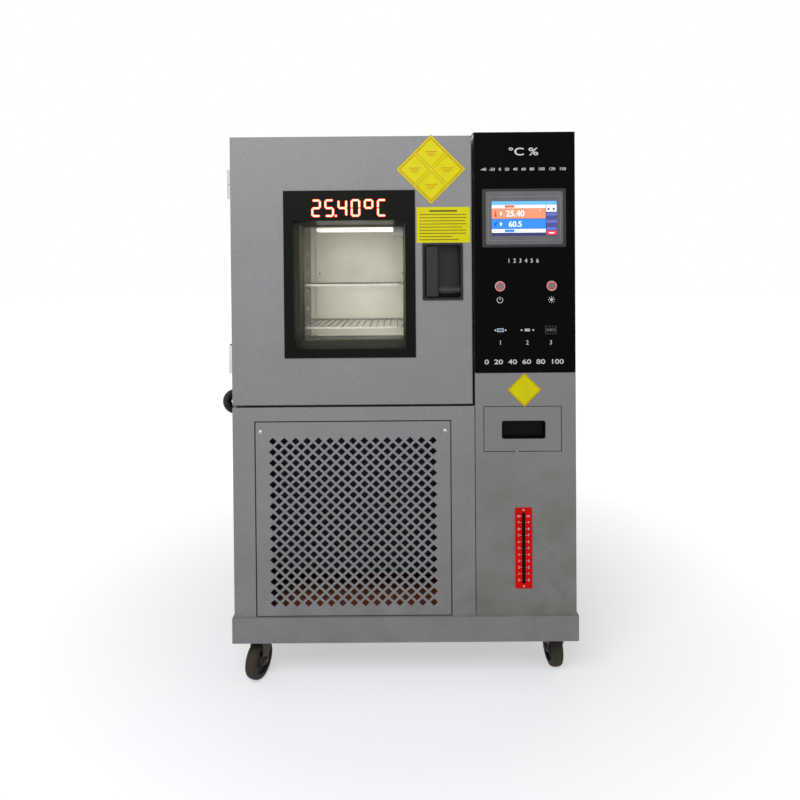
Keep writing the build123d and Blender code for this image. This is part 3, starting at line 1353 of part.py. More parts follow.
# Hermetic compressor with domed shell on a foot plate
COMPRESSOR_X = -260.0
COMPRESSOR_BACK = 350.0
COMPRESSOR_D = 190.0
COMPRESSOR_H = 270.0
COMPRESSOR_FOOT = 218.0
COMPRESSOR_DOME_H = 40.0
COMPRESSOR_DOME_W = 55.0
compressor_y = BACK_Y - COMPRESSOR_BACK
with BuildPart() as compressor:
    with BuildSketch(level(DECK_Z)):
        with Locations((COMPRESSOR_X, compressor_y)):
            Rectangle(COMPRESSOR_FOOT, COMPRESSOR_FOOT)
    extrude(amount=12)
    disc(level(DECK_Z), COMPRESSOR_X, compressor_y, COMPRESSOR_D, COMPRESSOR_H)
    crown = compressor.edges().filter_by(GeomType.CIRCLE).group_by(Axis.Z)[-1]
    chamfer(crown, length=COMPRESSOR_DOME_H, length2=COMPRESSOR_DOME_W)
compressor.part.label = "compressor"
export_step(compressor.part, "parts/compressor.step")

# Condenser with upright fins between end plates, on legs, and the fan shroud behind it
CONDENSER_W = 480.0
CONDENSER_H = 400.0
CONDENSER_D = 56.0
CONDENSER_RISE = 95.0
CONDENSER_BACK = 55.0
CONDENSER_FINS = 24
SHROUD_RING = 38.0
condenser_y0 = FRONT_Y + CONDENSER_BACK
condenser_y1 = condenser_y0 + CONDENSER_D
condenser_z0 = DECK_Z + CONDENSER_RISE
condenser_z = condenser_z0 + CONDENSER_H / 2
shroud_y = condenser_y1 + RUNNER_T
cooling_y = shroud_y + SHROUD_RING / 2
strap_y = shroud_y + 3 * SHROUD_RING
with BuildPart() as condenser:
    with BuildSketch(level(condenser_z0)):
        with Locations((GRILLE_X, (condenser_y0 + condenser_y1) / 2)):
            Rectangle(CONDENSER_W - 4, CONDENSER_D * 0.3)
            with GridLocations(CONDENSER_W / (CONDENSER_FINS + 1), 1, CONDENSER_FINS, 1):
                Rectangle(2, CONDENSER_D)
    extrude(amount=CONDENSER_H)
    for sign in (-1, 1):
        end_x = GRILLE_X + sign * CONDENSER_W / 2
        plate(
            side(end_x - RUNNER_T if sign > 0 else end_x),
            condenser_y0,
            condenser_y1,
            DECK_Z,
            condenser_z0 + CONDENSER_H,
            RUNNER_T,
        )
    with BuildSketch(front(shroud_y)):
        with Locations((GRILLE_X, condenser_z)):
            Rectangle(CONDENSER_W, CONDENSER_H)
            Circle(COOLING_FAN_D / 2 + 6, mode=Mode.SUBTRACT)
    extrude(amount=RUNNER_T)
    with BuildSketch(front(shroud_y + SHROUD_RING)):
        with Locations((GRILLE_X, condenser_z)):
            Circle(COOLING_FAN_D / 2 + 8)
            Circle(COOLING_FAN_D / 2 + 6, mode=Mode.SUBTRACT)
    extrude(amount=SHROUD_RING)
    strap_h = COOLING_FAN_D + 40
    plate(front(strap_y + 3), GRILLE_X - 15, GRILLE_X + 15, condenser_z - strap_h / 2, condenser_z + strap_h / 2, 3)
    for sign in (-1, 1):
        leg_z = condenser_z + sign * (strap_h / 2 - 1.5)
        plate(front(strap_y), GRILLE_X - 15, GRILLE_X + 15, leg_z - 1.5, leg_z + 1.5, strap_y - shroud_y)
    disc(front(strap_y), GRILLE_X, condenser_z, 90, strap_y - cooling_y - SHROUD_RING / 2 - 6)
    bore_l = 20
    motor_face_y = cooling_y + SHROUD_RING / 2 + 6
    disc(
        front(motor_face_y + bore_l),
        GRILLE_X,
        condenser_z,
        COOLING_SHAFT_D + 2 * SHAFT_PLAY,
        bore_l,
        Mode.SUBTRACT,
    )
condenser.part.label = "condenser"
export_step(condenser.part, "parts/condenser.step")

# Condenser fan
with BuildPart() as condenser_fan:
    disc(front(cooling_y + 16), GRILLE_X, condenser_z, 70, 30)
    for index in range(5):
        blade(GRILLE_X, cooling_y, condenser_z, 90 + index * 72, 30, COOLING_FAN_D / 2, 74, 24, 2)
    shaft_l = motor_face_y + bore_l - 1 - cooling_y
    disc(front(cooling_y + shaft_l), GRILLE_X, condenser_z, COOLING_SHAFT_D, shaft_l)
condenser_fan.part.label = "condenser_fan"
export_step(condenser_fan.part, "parts/condenser_fan.step")

# Refrigerant pipes between compressor, condenser and the chamber floor
PIPE_D = 12.0
PIPE_BEND = 30.0
shell_top = DECK_Z + COMPRESSOR_H
with BuildPart() as refrigerant_pipes:
    pipe(
        (
            at(COMPRESSOR_X, compressor_y, shell_top),
            at(COMPRESSOR_X, compressor_y, shell_top + 90),
            at(CAVITY_X, compressor_y, shell_top + 90),
            at(CAVITY_X, compressor_y, SPLIT_Z - SKIN),
        ),
        PIPE_D,
        PIPE_BEND,
    )
    pipe(
        (
            at(COMPRESSOR_X, compressor_y - COMPRESSOR_D / 2, DECK_Z + 60),
            at(COMPRESSOR_X, condenser_y1 + 60, DECK_Z + 60),
            at(GRILLE_X + CONDENSER_W / 2 + 30, condenser_y1 + 60, DECK_Z + 60),
        ),
        PIPE_D,
        PIPE_BEND,
    )
refrigerant_pipes.part.label = "refrigerant_pipes"
export_step(refrigerant_pipes.part, "parts/refrigerant_pipes.step")

# Mounting plate in the tower with relays, breakers and terminal blocks on two rails
BOARD_W = 220.0
BOARD_H = 480.0
BOARD_BACK = 300.0
board_x = (TOWER_X + RIGHT) / 2
board_y = BACK_Y - BOARD_BACK
board_z0 = SPLIT_Z + 60
with BuildPart() as electrical_panel:
    plate(front(board_y + 2), board_x - BOARD_W / 2, board_x + BOARD_W / 2, board_z0, board_z0 + BOARD_H, 2)
    plate(front(board_y + 30), TOWER_X + SKIN, board_x - BOARD_W / 2 + 2, board_z0, board_z0 + BOARD_H, 30)
    for row, (block_h, block_d, block_w, count) in enumerate(
        ((80, 70, 44, 4), (90, 60, 36, 5), (60, 50, 30, 6))
    ):
        row_z = board_z0 + 80 + row * 150
        plate(front(board_y), board_x - BOARD_W / 2 + 8, board_x + BOARD_W / 2 - 8, row_z - 17, row_z + 17, 8)
        with BuildSketch(front(board_y - 8)) as blocks:
            with Locations((board_x, row_z)):
                with GridLocations(block_w + 2, 1, count, 1):
                    Rectangle(block_w, block_h)
        extrude(blocks.sketch, amount=block_d)
electrical_panel.part.label = "electrical_panel"
export_step(electrical_panel.part, "parts/electrical_panel.step")

# Wiring conduit: loop that leaves the left skin and goes back in below
with BuildPart() as wiring_conduit:
    conduit_end = LEFT + SKIN + CONDUIT_HELD
    turn_x = LEFT - CONDUIT_OUT
    with BuildLine(front(CONDUIT_Y)) as loop:
        Line((conduit_end, conduit_zs[0]), (turn_x, conduit_zs[0]))
        ThreePointArc((turn_x, conduit_zs[0]), (turn_x - CONDUIT_R, CONDUIT_Z), (turn_x, conduit_zs[1]))
        Line((turn_x, conduit_zs[1]), (conduit_end, conduit_zs[1]))
    with BuildSketch(side(conduit_end)) as hose:
        with Locations((CONDUIT_Y, conduit_zs[0])):
            RegularPolygon(CONDUIT_D / 2, 12)
    sweep(hose.sketch, path=loop.wires()[0])
wiring_conduit.part.label = "wiring_conduit"
export_step(wiring_conduit.part, "parts/wiring_conduit.step")


def swivel_plane(name, z):
    """Plan at a caster's stem, local x pointing from the stem to its wheel."""
    stem_x = STEM_LEFT if name.endswith("left") else STEM_RIGHT
    stem_y = FRONT_Y + STEM_FRONT if name.startswith("front") else BACK_Y - STEM_BACK
    yaw = math.radians(YAW[name])
    return Plane(
        origin=at(stem_x, stem_y, z),
        x_dir=(math.cos(yaw), math.sin(yaw), 0),
        z_dir=(0, 0, 1),
    )


def wheel_plane(name, offset_y):
    """Upright plane through a caster's wheel, local x along its roll, local y up."""
    ground = swivel_plane(name, 0)
    origin = ground.from_local_coords(Vector(0, offset_y, 0))
    return Plane(origin=origin, x_dir=ground.x_dir, z_dir=-ground.y_dir)


def caster_fork(name):
    """Race, crown plate, two tapered cheeks and the axle with its nuts."""
    crown_z = PAD_Z - FIT - RACE_H - CROWN_T
    cheek_y = WHEEL_W / 2 + FORK_PLAY
    fork_y = cheek_y + FORK_T
    disc(swivel_plane(name, crown_z + CROWN_T), 0, 0, RACE_D, RACE_H)
    plate(swivel_plane(name, crown_z), -RACE_D / 2, TRAIL + CHEEK_FOOT, -fork_y, fork_y, CROWN_T)
    for start_y in (fork_y, -cheek_y):
        with BuildSketch(wheel_plane(name, start_y)) as cheek:
            with BuildLine():
                Polyline(
                    (-RACE_D / 3, crown_z),
                    (TRAIL - CHEEK_FOOT, WHEEL_D / 2 - CHEEK_FOOT),
                    (TRAIL + CHEEK_FOOT, WHEEL_D / 2 - CHEEK_FOOT),
                    (TRAIL + CHEEK_FOOT, crown_z),
                    close=True,
                )
            make_face()
        extrude(cheek.sketch, amount=FORK_T)
    disc(wheel_plane(name, cheek_y), TRAIL, WHEEL_D / 2, AXLE_D, 2 * cheek_y)
    for start_y in (fork_y + AXLE_NUT_T, -fork_y):
        with BuildSketch(wheel_plane(name, start_y)) as nut:
            with Locations((TRAIL, WHEEL_D / 2)):
                RegularPolygon(AXLE_D * 0.8, 6)
        extrude(nut.sketch, amount=AXLE_NUT_T)
    disc(swivel_plane(name, crown_z), 0, 0, KINGPIN_D + 2 * PIN_PLAY, RACE_H + CROWN_T + FIT, Mode.SUBTRACT)


def caster_wheel(name):
    """Tread with rounded shoulders, dished web and a hub bored for the axle."""
    radius = WHEEL_D / 2
    half = WHEEL_W / 2
    bore = AXLE_D / 2 + PIN_PLAY
    centre = swivel_plane(name, radius).from_local_coords(Vector(TRAIL, 0, 0))
    ground = swivel_plane(name, 0)
    with BuildSketch(Plane(origin=centre, x_dir=ground.y_dir, z_dir=ground.x_dir)) as profile:
        with BuildLine():
            Polyline(
                (-half, bore),
                (-half, WHEEL_HUB_R),
                (-half + WHEEL_DISH, radius - WHEEL_TREAD),
                (-half, radius - WHEEL_SHOULDER),
                (-half + WHEEL_SHOULDER, radius),
                (half - WHEEL_SHOULDER, radius),
                (half, radius - WHEEL_SHOULDER),
                (half - WHEEL_DISH, radius - WHEEL_TREAD),
                (half, WHEEL_HUB_R),
                (half, bore),
                close=True,
            )
        make_face()
    revolve(profile.sketch, axis=Axis(centre, ground.y_dir))


# Front left caster
with BuildPart() as front_left_fork:
    caster_fork("front_left")
front_left_fork.part.label = "front_left_fork"
export_step(front_left_fork.part, "parts/front_left_fork.step")
with BuildPart() as front_left_wheel:
    caster_wheel("front_left")
front_left_wheel.part.label = "front_left_wheel"
export_step(front_left_wheel.part, "parts/front_left_wheel.step")

# Front right caster
with BuildPart() as front_right_fork:
    caster_fork("front_right")
front_right_fork.part.label = "front_right_fork"
export_step(front_right_fork.part, "parts/front_right_fork.step")
with BuildPart() as front_right_wheel:
    caster_wheel("front_right")
front_right_wheel.part.label = "front_right_wheel"
export_step(front_right_wheel.part, "parts/front_right_wheel.step")

# Rear left caster
with BuildPart() as rear_left_fork:
    caster_fork("rear_left")
rear_left_fork.part.label = "rear_left_fork"
export_step(rear_left_fork.part, "parts/rear_left_fork.step")
with BuildPart() as rear_left_wheel:
    caster_wheel("rear_left")
rear_left_wheel.part.label = "rear_left_wheel"
export_step(rear_left_wheel.part, "parts/rear_left_wheel.step")

# Rear right caster
with BuildPart() as rear_right_fork:
    caster_fork("rear_right")
rear_right_fork.part.label = "rear_right_fork"
export_step(rear_right_fork.part, "parts/rear_right_fork.step")
with BuildPart() as rear_right_wheel:
    caster_wheel("rear_right")
rear_right_wheel.part.label = "rear_right_wheel"
export_step(rear_right_wheel.part, "parts/rear_right_wheel.step")
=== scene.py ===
"""Finishes and fine pieces for an environmental test chamber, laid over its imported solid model.

Lengths are metres in the model's own frame: the floor is z = 0 and the front faces -Y.
"""

import json
import math

import bmesh
import bpy
from mathutils import Matrix, Vector


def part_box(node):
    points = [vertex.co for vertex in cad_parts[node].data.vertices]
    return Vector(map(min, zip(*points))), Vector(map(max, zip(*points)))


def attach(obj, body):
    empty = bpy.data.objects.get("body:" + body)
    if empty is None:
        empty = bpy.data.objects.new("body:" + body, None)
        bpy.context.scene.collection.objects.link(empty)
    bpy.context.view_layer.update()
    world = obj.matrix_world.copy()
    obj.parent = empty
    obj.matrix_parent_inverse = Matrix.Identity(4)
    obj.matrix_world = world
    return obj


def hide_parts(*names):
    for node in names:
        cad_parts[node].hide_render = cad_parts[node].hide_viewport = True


bl_info = {
    "name": "Test Chamber Finishes",
    "version": (1, 0, 0),
    "blender": (4, 5, 0),
    "location": "View3D > Sidebar > Chamber",
    "description": "Paint, glazing, controls, casters and stage of an environmental test chamber",
    "category": "Object",
}

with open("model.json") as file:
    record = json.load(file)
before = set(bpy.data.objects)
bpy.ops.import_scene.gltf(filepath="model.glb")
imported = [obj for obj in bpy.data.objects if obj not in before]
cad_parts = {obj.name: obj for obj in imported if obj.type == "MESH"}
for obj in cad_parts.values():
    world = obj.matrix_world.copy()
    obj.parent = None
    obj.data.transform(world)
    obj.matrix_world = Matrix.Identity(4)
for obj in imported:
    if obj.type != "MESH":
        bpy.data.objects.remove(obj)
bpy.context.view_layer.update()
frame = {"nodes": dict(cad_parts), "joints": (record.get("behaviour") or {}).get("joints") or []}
# The cabinet's own middle line lies this far to the right of the frame's zero
MIDDLE_X = 0.029


def linear(red, green, blue):
    """A display colour from 0 to 255, as the linear values that shaders use."""
    shares = [value / 255 for value in (red, green, blue)]
    return [s / 12.92 if s <= 0.04045 else ((s + 0.055) / 1.055) ** 2.4 for s in shares]


def dims(node):
    """Lowest corner, highest corner, centre and size of a solid."""
    low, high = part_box(node)
    return low, high, (low + high) / 2, high - low


# Settings that a user would change


def colour(name, text, rgb):
    """Colour setting with its default given as a display colour."""
    return bpy.props.FloatVectorProperty(
        name=name, description=text, default=linear(*rgb), subtype="COLOR", size=3, min=0, max=1
    )


def length(name, text, value):
    """Length setting in metres."""
    return bpy.props.FloatProperty(
        name=name, description=text, default=value, subtype="DISTANCE", unit="LENGTH"
    )


def angle(name, text, degrees):
    """Angle setting with its default in degrees."""
    return bpy.props.FloatProperty(
        name=name, description=text, default=math.radians(degrees), subtype="ANGLE", unit="ROTATION"
    )


def power(name, text, watts):
    """Power setting of a lamp."""
    return bpy.props.FloatProperty(name=name, description=text, default=watts, unit="POWER")


def words(name, text, value):
    """Text setting."""
    return bpy.props.StringProperty(name=name, description=text, default=value)


def extent(name, text, width, height):
    """Setting of a width and a height in metres."""
    return bpy.props.FloatVectorProperty(
        name=name, description=text, default=(width, height), size=2, unit="LENGTH"
    )


class ChamberColours(bpy.types.PropertyGroup):
    cabinet: colour("Cabinet", "Powder coat on the skins, door and plinth", (146, 146, 150))
    panel: colour("Control panel", "Black skin of the control tower", (8, 8, 10))
    window: colour("Window frame", "Black frame around the window", (19, 20, 17))
    label: colour("Label", "Plain yellow stickers", (234, 224, 8))
    label_line: colour("Label rule", "Rules printed on the stickers", (204, 106, 16))
    gauge: colour("Level gauge", "Red plate of the water level gauge", (236, 10, 8))
    glow: colour("Readout", "Lit figures above the window", (255, 20, 8))
    button: colour("Button ring", "Lit ring of the push buttons", (232, 34, 30))
    steel: colour("Chamber steel", "Brushed steel inside the chamber", (226, 224, 208))
    tread: colour("Tread", "Worn rubber of the casters", (66, 57, 48))
    tray: colour("Tray board", "Brown board under the cooling unit", (150, 84, 56))


class ChamberFigures(bpy.types.PropertyGroup):
    readout: words("Readout", "Figures above the window", "25.40°C")
    upper: words("Upper value", "Warm band on the screen", "25.40")
    lower: words("Lower value", "Cool band on the screen", "60.5")
    scale_top: bpy.props.IntProperty(
        name="Gauge top", description="Highest figure on the gauge", default=10, min=2
    )


class ChamberSizes(bpy.types.PropertyGroup):
    sticker: length("Sticker", "Thickness of the printed stickers", 0.0003)
    print_depth: length("Print", "Thickness of the printed marks", 0.0002)
    rib_pitch: length("Conduit rib", "Pitch of the ribs on the wiring conduit", 0.0046)
    fin_pitch: length("Fin", "Pitch of the condenser's fins", 0.0034)


class ChamberStage(bpy.types.PropertyGroup):
    distance: length("Distance", "From the camera to the front skin", 1.70)
    height: length("Height", "Height of the camera", 1.144)
    offset: length("Offset", "Camera to the right of the cabinet's middle", -0.020)
    lens: bpy.props.FloatProperty(name="Lens", description="Focal length", default=28.06, unit="CAMERA")
    roll: angle("Roll", "Lean of the camera", 0.45)
    pitch: angle("Pitch", "Upward tilt of the camera", -0.7)
    shift_x: bpy.props.FloatProperty(name="Shift X", description="Sideways lens shift", default=0.0054)
    shift_y: bpy.props.FloatProperty(name="Shift Y", description="Upward lens shift", default=-0.1495)
    key: power("Key", "Power of the large front lamp", 44.0)
    fill: power("Fill", "Power of the side lamp", 3.0)
    glow: power("Chamber", "Power of the light in the chamber", 0.56)
    sky: bpy.props.FloatProperty(
        name="Surround", description="Strength of the even surround light", default=0.30
    )


# Mesh tools


def object_from(name, bm, material, smooth=True):
    """Turn a bmesh into an object with one material."""
    bmesh.ops.recalc_face_normals(bm, faces=bm.faces)
    mesh = bpy.data.meshes.new(name)
    bm.to_mesh(mesh)
    bm.free()
    for polygon in mesh.polygons:
        polygon.use_smooth = smooth
    mesh.materials.append(material)
    piece = bpy.data.objects.new(name, mesh)
    bpy.context.scene.collection.objects.link(piece)
    if smooth:
        mesh.set_sharp_from_angle(angle=math.radians(32))
    return piece


def soften(bm, width, segments=2, angle=30):
    """Round every edge sharper than an angle."""
    if width <= 0:
        return
    sharp = [e for e in bm.edges if len(e.link_faces) == 2 and e.calc_face_angle(0) > math.radians(angle)]
    bmesh.ops.bevel(bm, geom=sharp, offset=width, segments=segments, profile=0.5, affect="EDGES")


def rounded_outline(width, height, radius, steps=5):
    """Corner points of a rounded rectangle around the origin."""
    points = []
    for corner, (sx, sz) in enumerate(((1, 1), (-1, 1), (-1, -1), (1, -1))):
        for step in range(steps + 1):
            turn = math.radians(90 * (corner + step / steps))
            points.append((
                sx * (width / 2 - radius) + radius * math.cos(turn),
                sz * (height / 2 - radius) + radius * math.sin(turn),
            ))
    return points


def slab(name, outline, centre, thickness, material, bevel=0.0, segments=2):
    """Plate with a given outline that faces -Y; centre is the middle of its back face."""
    bm = bmesh.new()
    back = [bm.verts.new((centre[0] + x, centre[1], centre[2] + z)) for x, z in outline]
    face = bm.faces.new(back)
    grown = bmesh.ops.extrude_face_region(bm, geom=[face])
    moved = [v for v in grown["geom"] if isinstance(v, bmesh.types.BMVert)]
    bmesh.ops.translate(bm, verts=moved, vec=(0, -thickness, 0))
    soften(bm, bevel, segments)
    return object_from(name, bm, material)


def surround(name, outer, inner, centre, thickness, material, bevel=0.0, inner_shift=(0, 0)):
    """Plate with a hole that faces -Y, between two outlines with as many points each."""
    bm = bmesh.new()
    rings = []
    for depth in (0, -thickness):
        for outline, shift in ((outer, (0, 0)), (inner, inner_shift)):
            rings.append([
                bm.verts.new((centre[0] + x + shift[0], centre[1] + depth, centre[2] + z + shift[1]))
                for x, z in outline
            ])
    for a, b in ((0, 1), (2, 3), (0, 2), (1, 3)):
        count = len(rings[a])
        for i in range(count):
            j = (i + 1) % count
            bm.faces.new((rings[a][i], rings[a][j], rings[b][j], rings[b][i]))
    soften(bm, bevel)
    return object_from(name, bm, material)


def block(name, low, high, material, bevel=0.0):
    """Box between two corners with rounded edges."""
    bm = bmesh.new()
    made = bmesh.ops.create_cube(bm, size=1)
    size = Vector(high) - Vector(low)
    middle = (Vector(high) + Vector(low)) / 2
    placed = Matrix.Translation(middle) @ Matrix.Diagonal((*size, 1))
    bmesh.ops.transform(bm, matrix=placed, verts=made["verts"])
    soften(bm, bevel)
    return object_from(name, bm, material)


def lathe(name, profile, centre, axis, material, steps=48):
    """Turned piece: profile holds distance along the axis and radius."""
    axis = Vector(axis).normalized()
    across = axis.orthogonal().normalized()
    upward = axis.cross(across)
    bm = bmesh.new()
    rings = []
    for along, radius in profile:
        base = Vector(centre) + axis * along
        if radius <= 0:
            rings.append([bm.verts.new(base)])
            continue
        turns = [2 * math.pi * i / steps for i in range(steps)]
        rings.append([
            bm.verts.new(base + (across * math.cos(t) + upward * math.sin(t)) * radius) for t in turns
        ])
    for first, second in zip(rings, rings[1:]):
        for i in range(steps):
            j = (i + 1) % steps
            corners = [first[i % len(first)], first[j % len(first)]]
            corners += [second[j % len(second)], second[i % len(second)]]
            bm.faces.new(list(dict.fromkeys(corners)))
    return object_from(name, bm, material)


def hose(name, points, radii, material, steps=28):
    """Round tube through many points, with a radius at each."""
    bm = bmesh.new()
    rings = []
    up = Vector((0, 1, 0))
    for i, point in enumerate(points):
        ahead = points[min(i + 1, len(points) - 1)] - points[max(i - 1, 0)]
        across = ahead.cross(up).normalized()
        lift = across.cross(ahead).normalized()
        turns = [2 * math.pi * k / steps for k in range(steps)]
        rings.append([
            bm.verts.new(point + (across * math.cos(t) + lift * math.sin(t)) * radii[i]) for t in turns
        ])
    for first, second in zip(rings, rings[1:]):
        for k in range(steps):
            m = (k + 1) % steps
            bm.faces.new((first[k], first[m], second[m], second[k]))
    bm.faces.new(rings[0])
    bm.faces.new(rings[-1])
    return object_from(name, bm, material)


def lettering(name, text, centre, width, height, depth, material, thicken=0.0):
    """Raised figures that face -Y, fitted to a width and a height; centre lies on the surface."""
    curve = bpy.data.curves.new(name, type="FONT")
    curve.body = text
    curve.extrude = 0.01
    curve.offset = thicken
    holder = bpy.data.objects.new(name + "_curve", curve)
    bpy.context.scene.collection.objects.link(holder)
    bpy.context.view_layer.update()
    shaped = holder.evaluated_get(bpy.context.evaluated_depsgraph_get())
    mesh = bpy.data.meshes.new_from_object(shaped)
    bpy.data.objects.remove(holder)
    bpy.data.curves.remove(curve)
    corners = [v.co.copy() for v in mesh.vertices]
    low = Vector((min(c.x for c in corners), min(c.y for c in corners), 0))
    high = Vector((max(c.x for c in corners), max(c.y for c in corners), 0))
    across = height / (high.y - low.y) if width is None else width / (high.x - low.x)
    upward = height / (high.y - low.y)
    middle = (low + high) / 2
    for vertex in mesh.vertices:
        out = depth if vertex.co.z > 0 else 0
        vertex.co = (
            centre[0] + (vertex.co.x - middle.x) * across,
            centre[1] - out,
            centre[2] + (vertex.co.y - middle.y) * upward,
        )
    mesh.materials.clear()
    mesh.materials.append(material)
    piece = bpy.data.objects.new(name, mesh)
    bpy.context.scene.collection.objects.link(piece)
    return piece


def joined(name, pieces):
    """One object from several that share a body."""
    bpy.ops.object.select_all(action="DESELECT")
    for piece in pieces:
        piece.select_set(True)
    bpy.context.view_layer.objects.active = pieces[0]
    bpy.ops.object.join()
    pieces[0].name = name
    return pieces[0]


def add(piece, body):
    """Let a piece ride on a body."""
    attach(piece, body)
    return piece


def clothe(material, *nodes):
    """Give solids of the model a material."""
    for node in nodes:
        solid = frame["nodes"][node]
        for material_slot in solid.material_slots:
            material_slot.material = material


# Shader effects that several materials share


def socketed(name, inputs, outputs):
    """New shader node group with named sockets, its nodes, links and its two end nodes."""
    group = bpy.data.node_groups.new(name, "ShaderNodeTree")
    for label, kind, default in inputs:
        socket = group.interface.new_socket(name=label, in_out="INPUT", socket_type=kind)
        if default is not None:
            socket.default_value = default
    for label, kind in outputs:
        group.interface.new_socket(name=label, in_out="OUTPUT", socket_type=kind)
    start = group.nodes.new("NodeGroupInput")
    end = group.nodes.new("NodeGroupOutput")
    return group, group.nodes, group.links, start, end


def noise(nodes, links, vector, scale, detail=3.0, roughness=0.55):
    """Noise texture read at a vector; scale may be a number or an output."""
    texture = nodes.new("ShaderNodeTexNoise")
    texture.inputs["Detail"].default_value = detail
    texture.inputs["Roughness"].default_value = roughness
    links.new(vector, texture.inputs["Vector"])
    if isinstance(scale, (int, float)):
        texture.inputs["Scale"].default_value = scale
    else:
        links.new(scale, texture.inputs["Scale"])
    return texture.outputs["Fac"]


def math_node(nodes, links, operation, first, second=None, clamp=False):
    """Math node on outputs or numbers."""
    node = nodes.new("ShaderNodeMath")
    node.operation = operation
    node.use_clamp = clamp
    for socket, value in zip(node.inputs, (first, second)):
        if value is None:
            continue
        if isinstance(value, (int, float)):
            socket.default_value = value
        else:
            links.new(value, socket)
    return node.outputs["Value"]


def ranged(nodes, links, value, low, high, to_low=0.0, to_high=1.0):
    """Map a value from one range to another, held at its ends."""
    node = nodes.new("ShaderNodeMapRange")
    node.inputs["From Min"].default_value = low
    node.inputs["From Max"].default_value = high
    node.inputs["To Min"].default_value = to_low
    node.inputs["To Max"].default_value = to_high
    links.new(value, node.inputs["Value"])
    return node.outputs["Result"]


def mixed(nodes, links, factor, first, second, blend="MIX"):
    """Blend two colours by a factor; each may be an output, a colour or a number."""
    node = nodes.new("ShaderNodeMix")
    node.data_type = "RGBA"
    node.blend_type = blend
    factor_in = 0
    first_colour_in = 6
    second_colour_in = 7
    colour_out = 2
    ports = [node.inputs[i] for i in (factor_in, first_colour_in, second_colour_in)]
    for socket, value in zip(ports, (factor, first, second)):
        if isinstance(value, bpy.types.NodeSocket):
            links.new(value, socket)
        elif isinstance(value, (int, float)):
            socket.default_value = value
        else:
            socket.default_value = (*value[:3], 1)
    return node.outputs[colour_out]


def coat_texture_group():
    """Fine orange peel of a powder coat: a height and a slow mottle."""
    group, nodes, links, start, end = socketed(
        "Coat Texture",
        (
            ("Vector", "NodeSocketVector", None),
            ("Peel Scale", "NodeSocketFloat", 900.0),
            ("Mottle Scale", "NodeSocketFloat", 7.0),
        ),
        (("Height", "NodeSocketFloat"), ("Mottle", "NodeSocketFloat"), ("Grain", "NodeSocketFloat")),
    )
    peel = noise(nodes, links, start.outputs["Vector"], start.outputs["Peel Scale"], 2.0)
    speckle = noise(nodes, links, start.outputs["Vector"], 340.0, 2.0)
    links.new(ranged(nodes, links, speckle, 0.32, 0.68, 0.91, 1.08), end.inputs["Grain"])
    mottle = noise(nodes, links, start.outputs["Vector"], start.outputs["Mottle Scale"], 4.0)
    links.new(peel, end.inputs["Height"])
    links.new(ranged(nodes, links, mottle, 0.3, 0.7), end.inputs["Mottle"])
    return group


def settled_dust_group():
    """Painted shade that darkens the lower parts, and dust on faces that look up, both in patches."""
    group, nodes, links, start, end = socketed(
        "Dust And Low Shade",
        (
            ("Vector", "NodeSocketVector", None),
            ("Color", "NodeSocketColor", (0.3, 0.3, 0.3, 1)),
            ("Dust And Shade Color", "NodeSocketColor", (0.16, 0.15, 0.11, 1)),
            ("Amount", "NodeSocketFloat", 0.3),
            ("Reach", "NodeSocketFloat", 0.5),
        ),
        (("Color", "NodeSocketColor"), ("Mask", "NodeSocketFloat")),
    )
    split = nodes.new("ShaderNodeSeparateXYZ")
    links.new(start.outputs["Vector"], split.inputs["Vector"])
    # Painted shade: the colour darkens from the reach height down to the floor.
    share = math_node(nodes, links, "DIVIDE", split.outputs["Z"], start.outputs["Reach"])
    low = math_node(nodes, links, "SUBTRACT", 1.0, share, clamp=True)
    facing = nodes.new("ShaderNodeNewGeometry")
    look = nodes.new("ShaderNodeSeparateXYZ")
    links.new(facing.outputs["Normal"], look.inputs["Vector"])
    upward = ranged(nodes, links, look.outputs["Z"], 0.5, 1.0, 0.0, 0.5)
    patches = ranged(nodes, links, noise(nodes, links, start.outputs["Vector"], 14.0, 5.0), 0.35, 0.75)
    low_shade_and_dust = math_node(nodes, links, "ADD", low, upward)
    patched = math_node(nodes, links, "MULTIPLY", low_shade_and_dust, patches)
    mask = math_node(nodes, links, "MULTIPLY", patched, start.outputs["Amount"], clamp=True)
    dust_and_shade = mixed(nodes, links, mask, start.outputs["Color"], start.outputs["Dust And Shade Color"])
    links.new(dust_and_shade, end.inputs["Color"])
    links.new(mask, end.inputs["Mask"])
    return group


def brushed_lines_group():
    """Long fine lines of brushed steel along one direction, stronger in soft patches."""
    group, nodes, links, start, end = socketed(
        "Brushed Lines",
        (
            ("Vector", "NodeSocketVector", None),
            ("Stretch", "NodeSocketVector", (2.0, 2.0, 260.0)),
        ),
        (("Height", "NodeSocketFloat"), ("Streak", "NodeSocketFloat")),
    )
    scaled = nodes.new("ShaderNodeVectorMath")
    scaled.operation = "MULTIPLY"
    links.new(start.outputs["Vector"], scaled.inputs[0])
    links.new(start.outputs["Stretch"], scaled.inputs[1])
    lines = noise(nodes, links, scaled.outputs["Vector"], 5.0, 4.0)
    clouds = noise(nodes, links, start.outputs["Vector"], 6.0, 3.0)
    links.new(lines, end.inputs["Height"])
    streak = math_node(nodes, links, "MULTIPLY", lines, clouds)
    links.new(ranged(nodes, links, streak, 0.12, 0.42), end.inputs["Streak"])
    return group


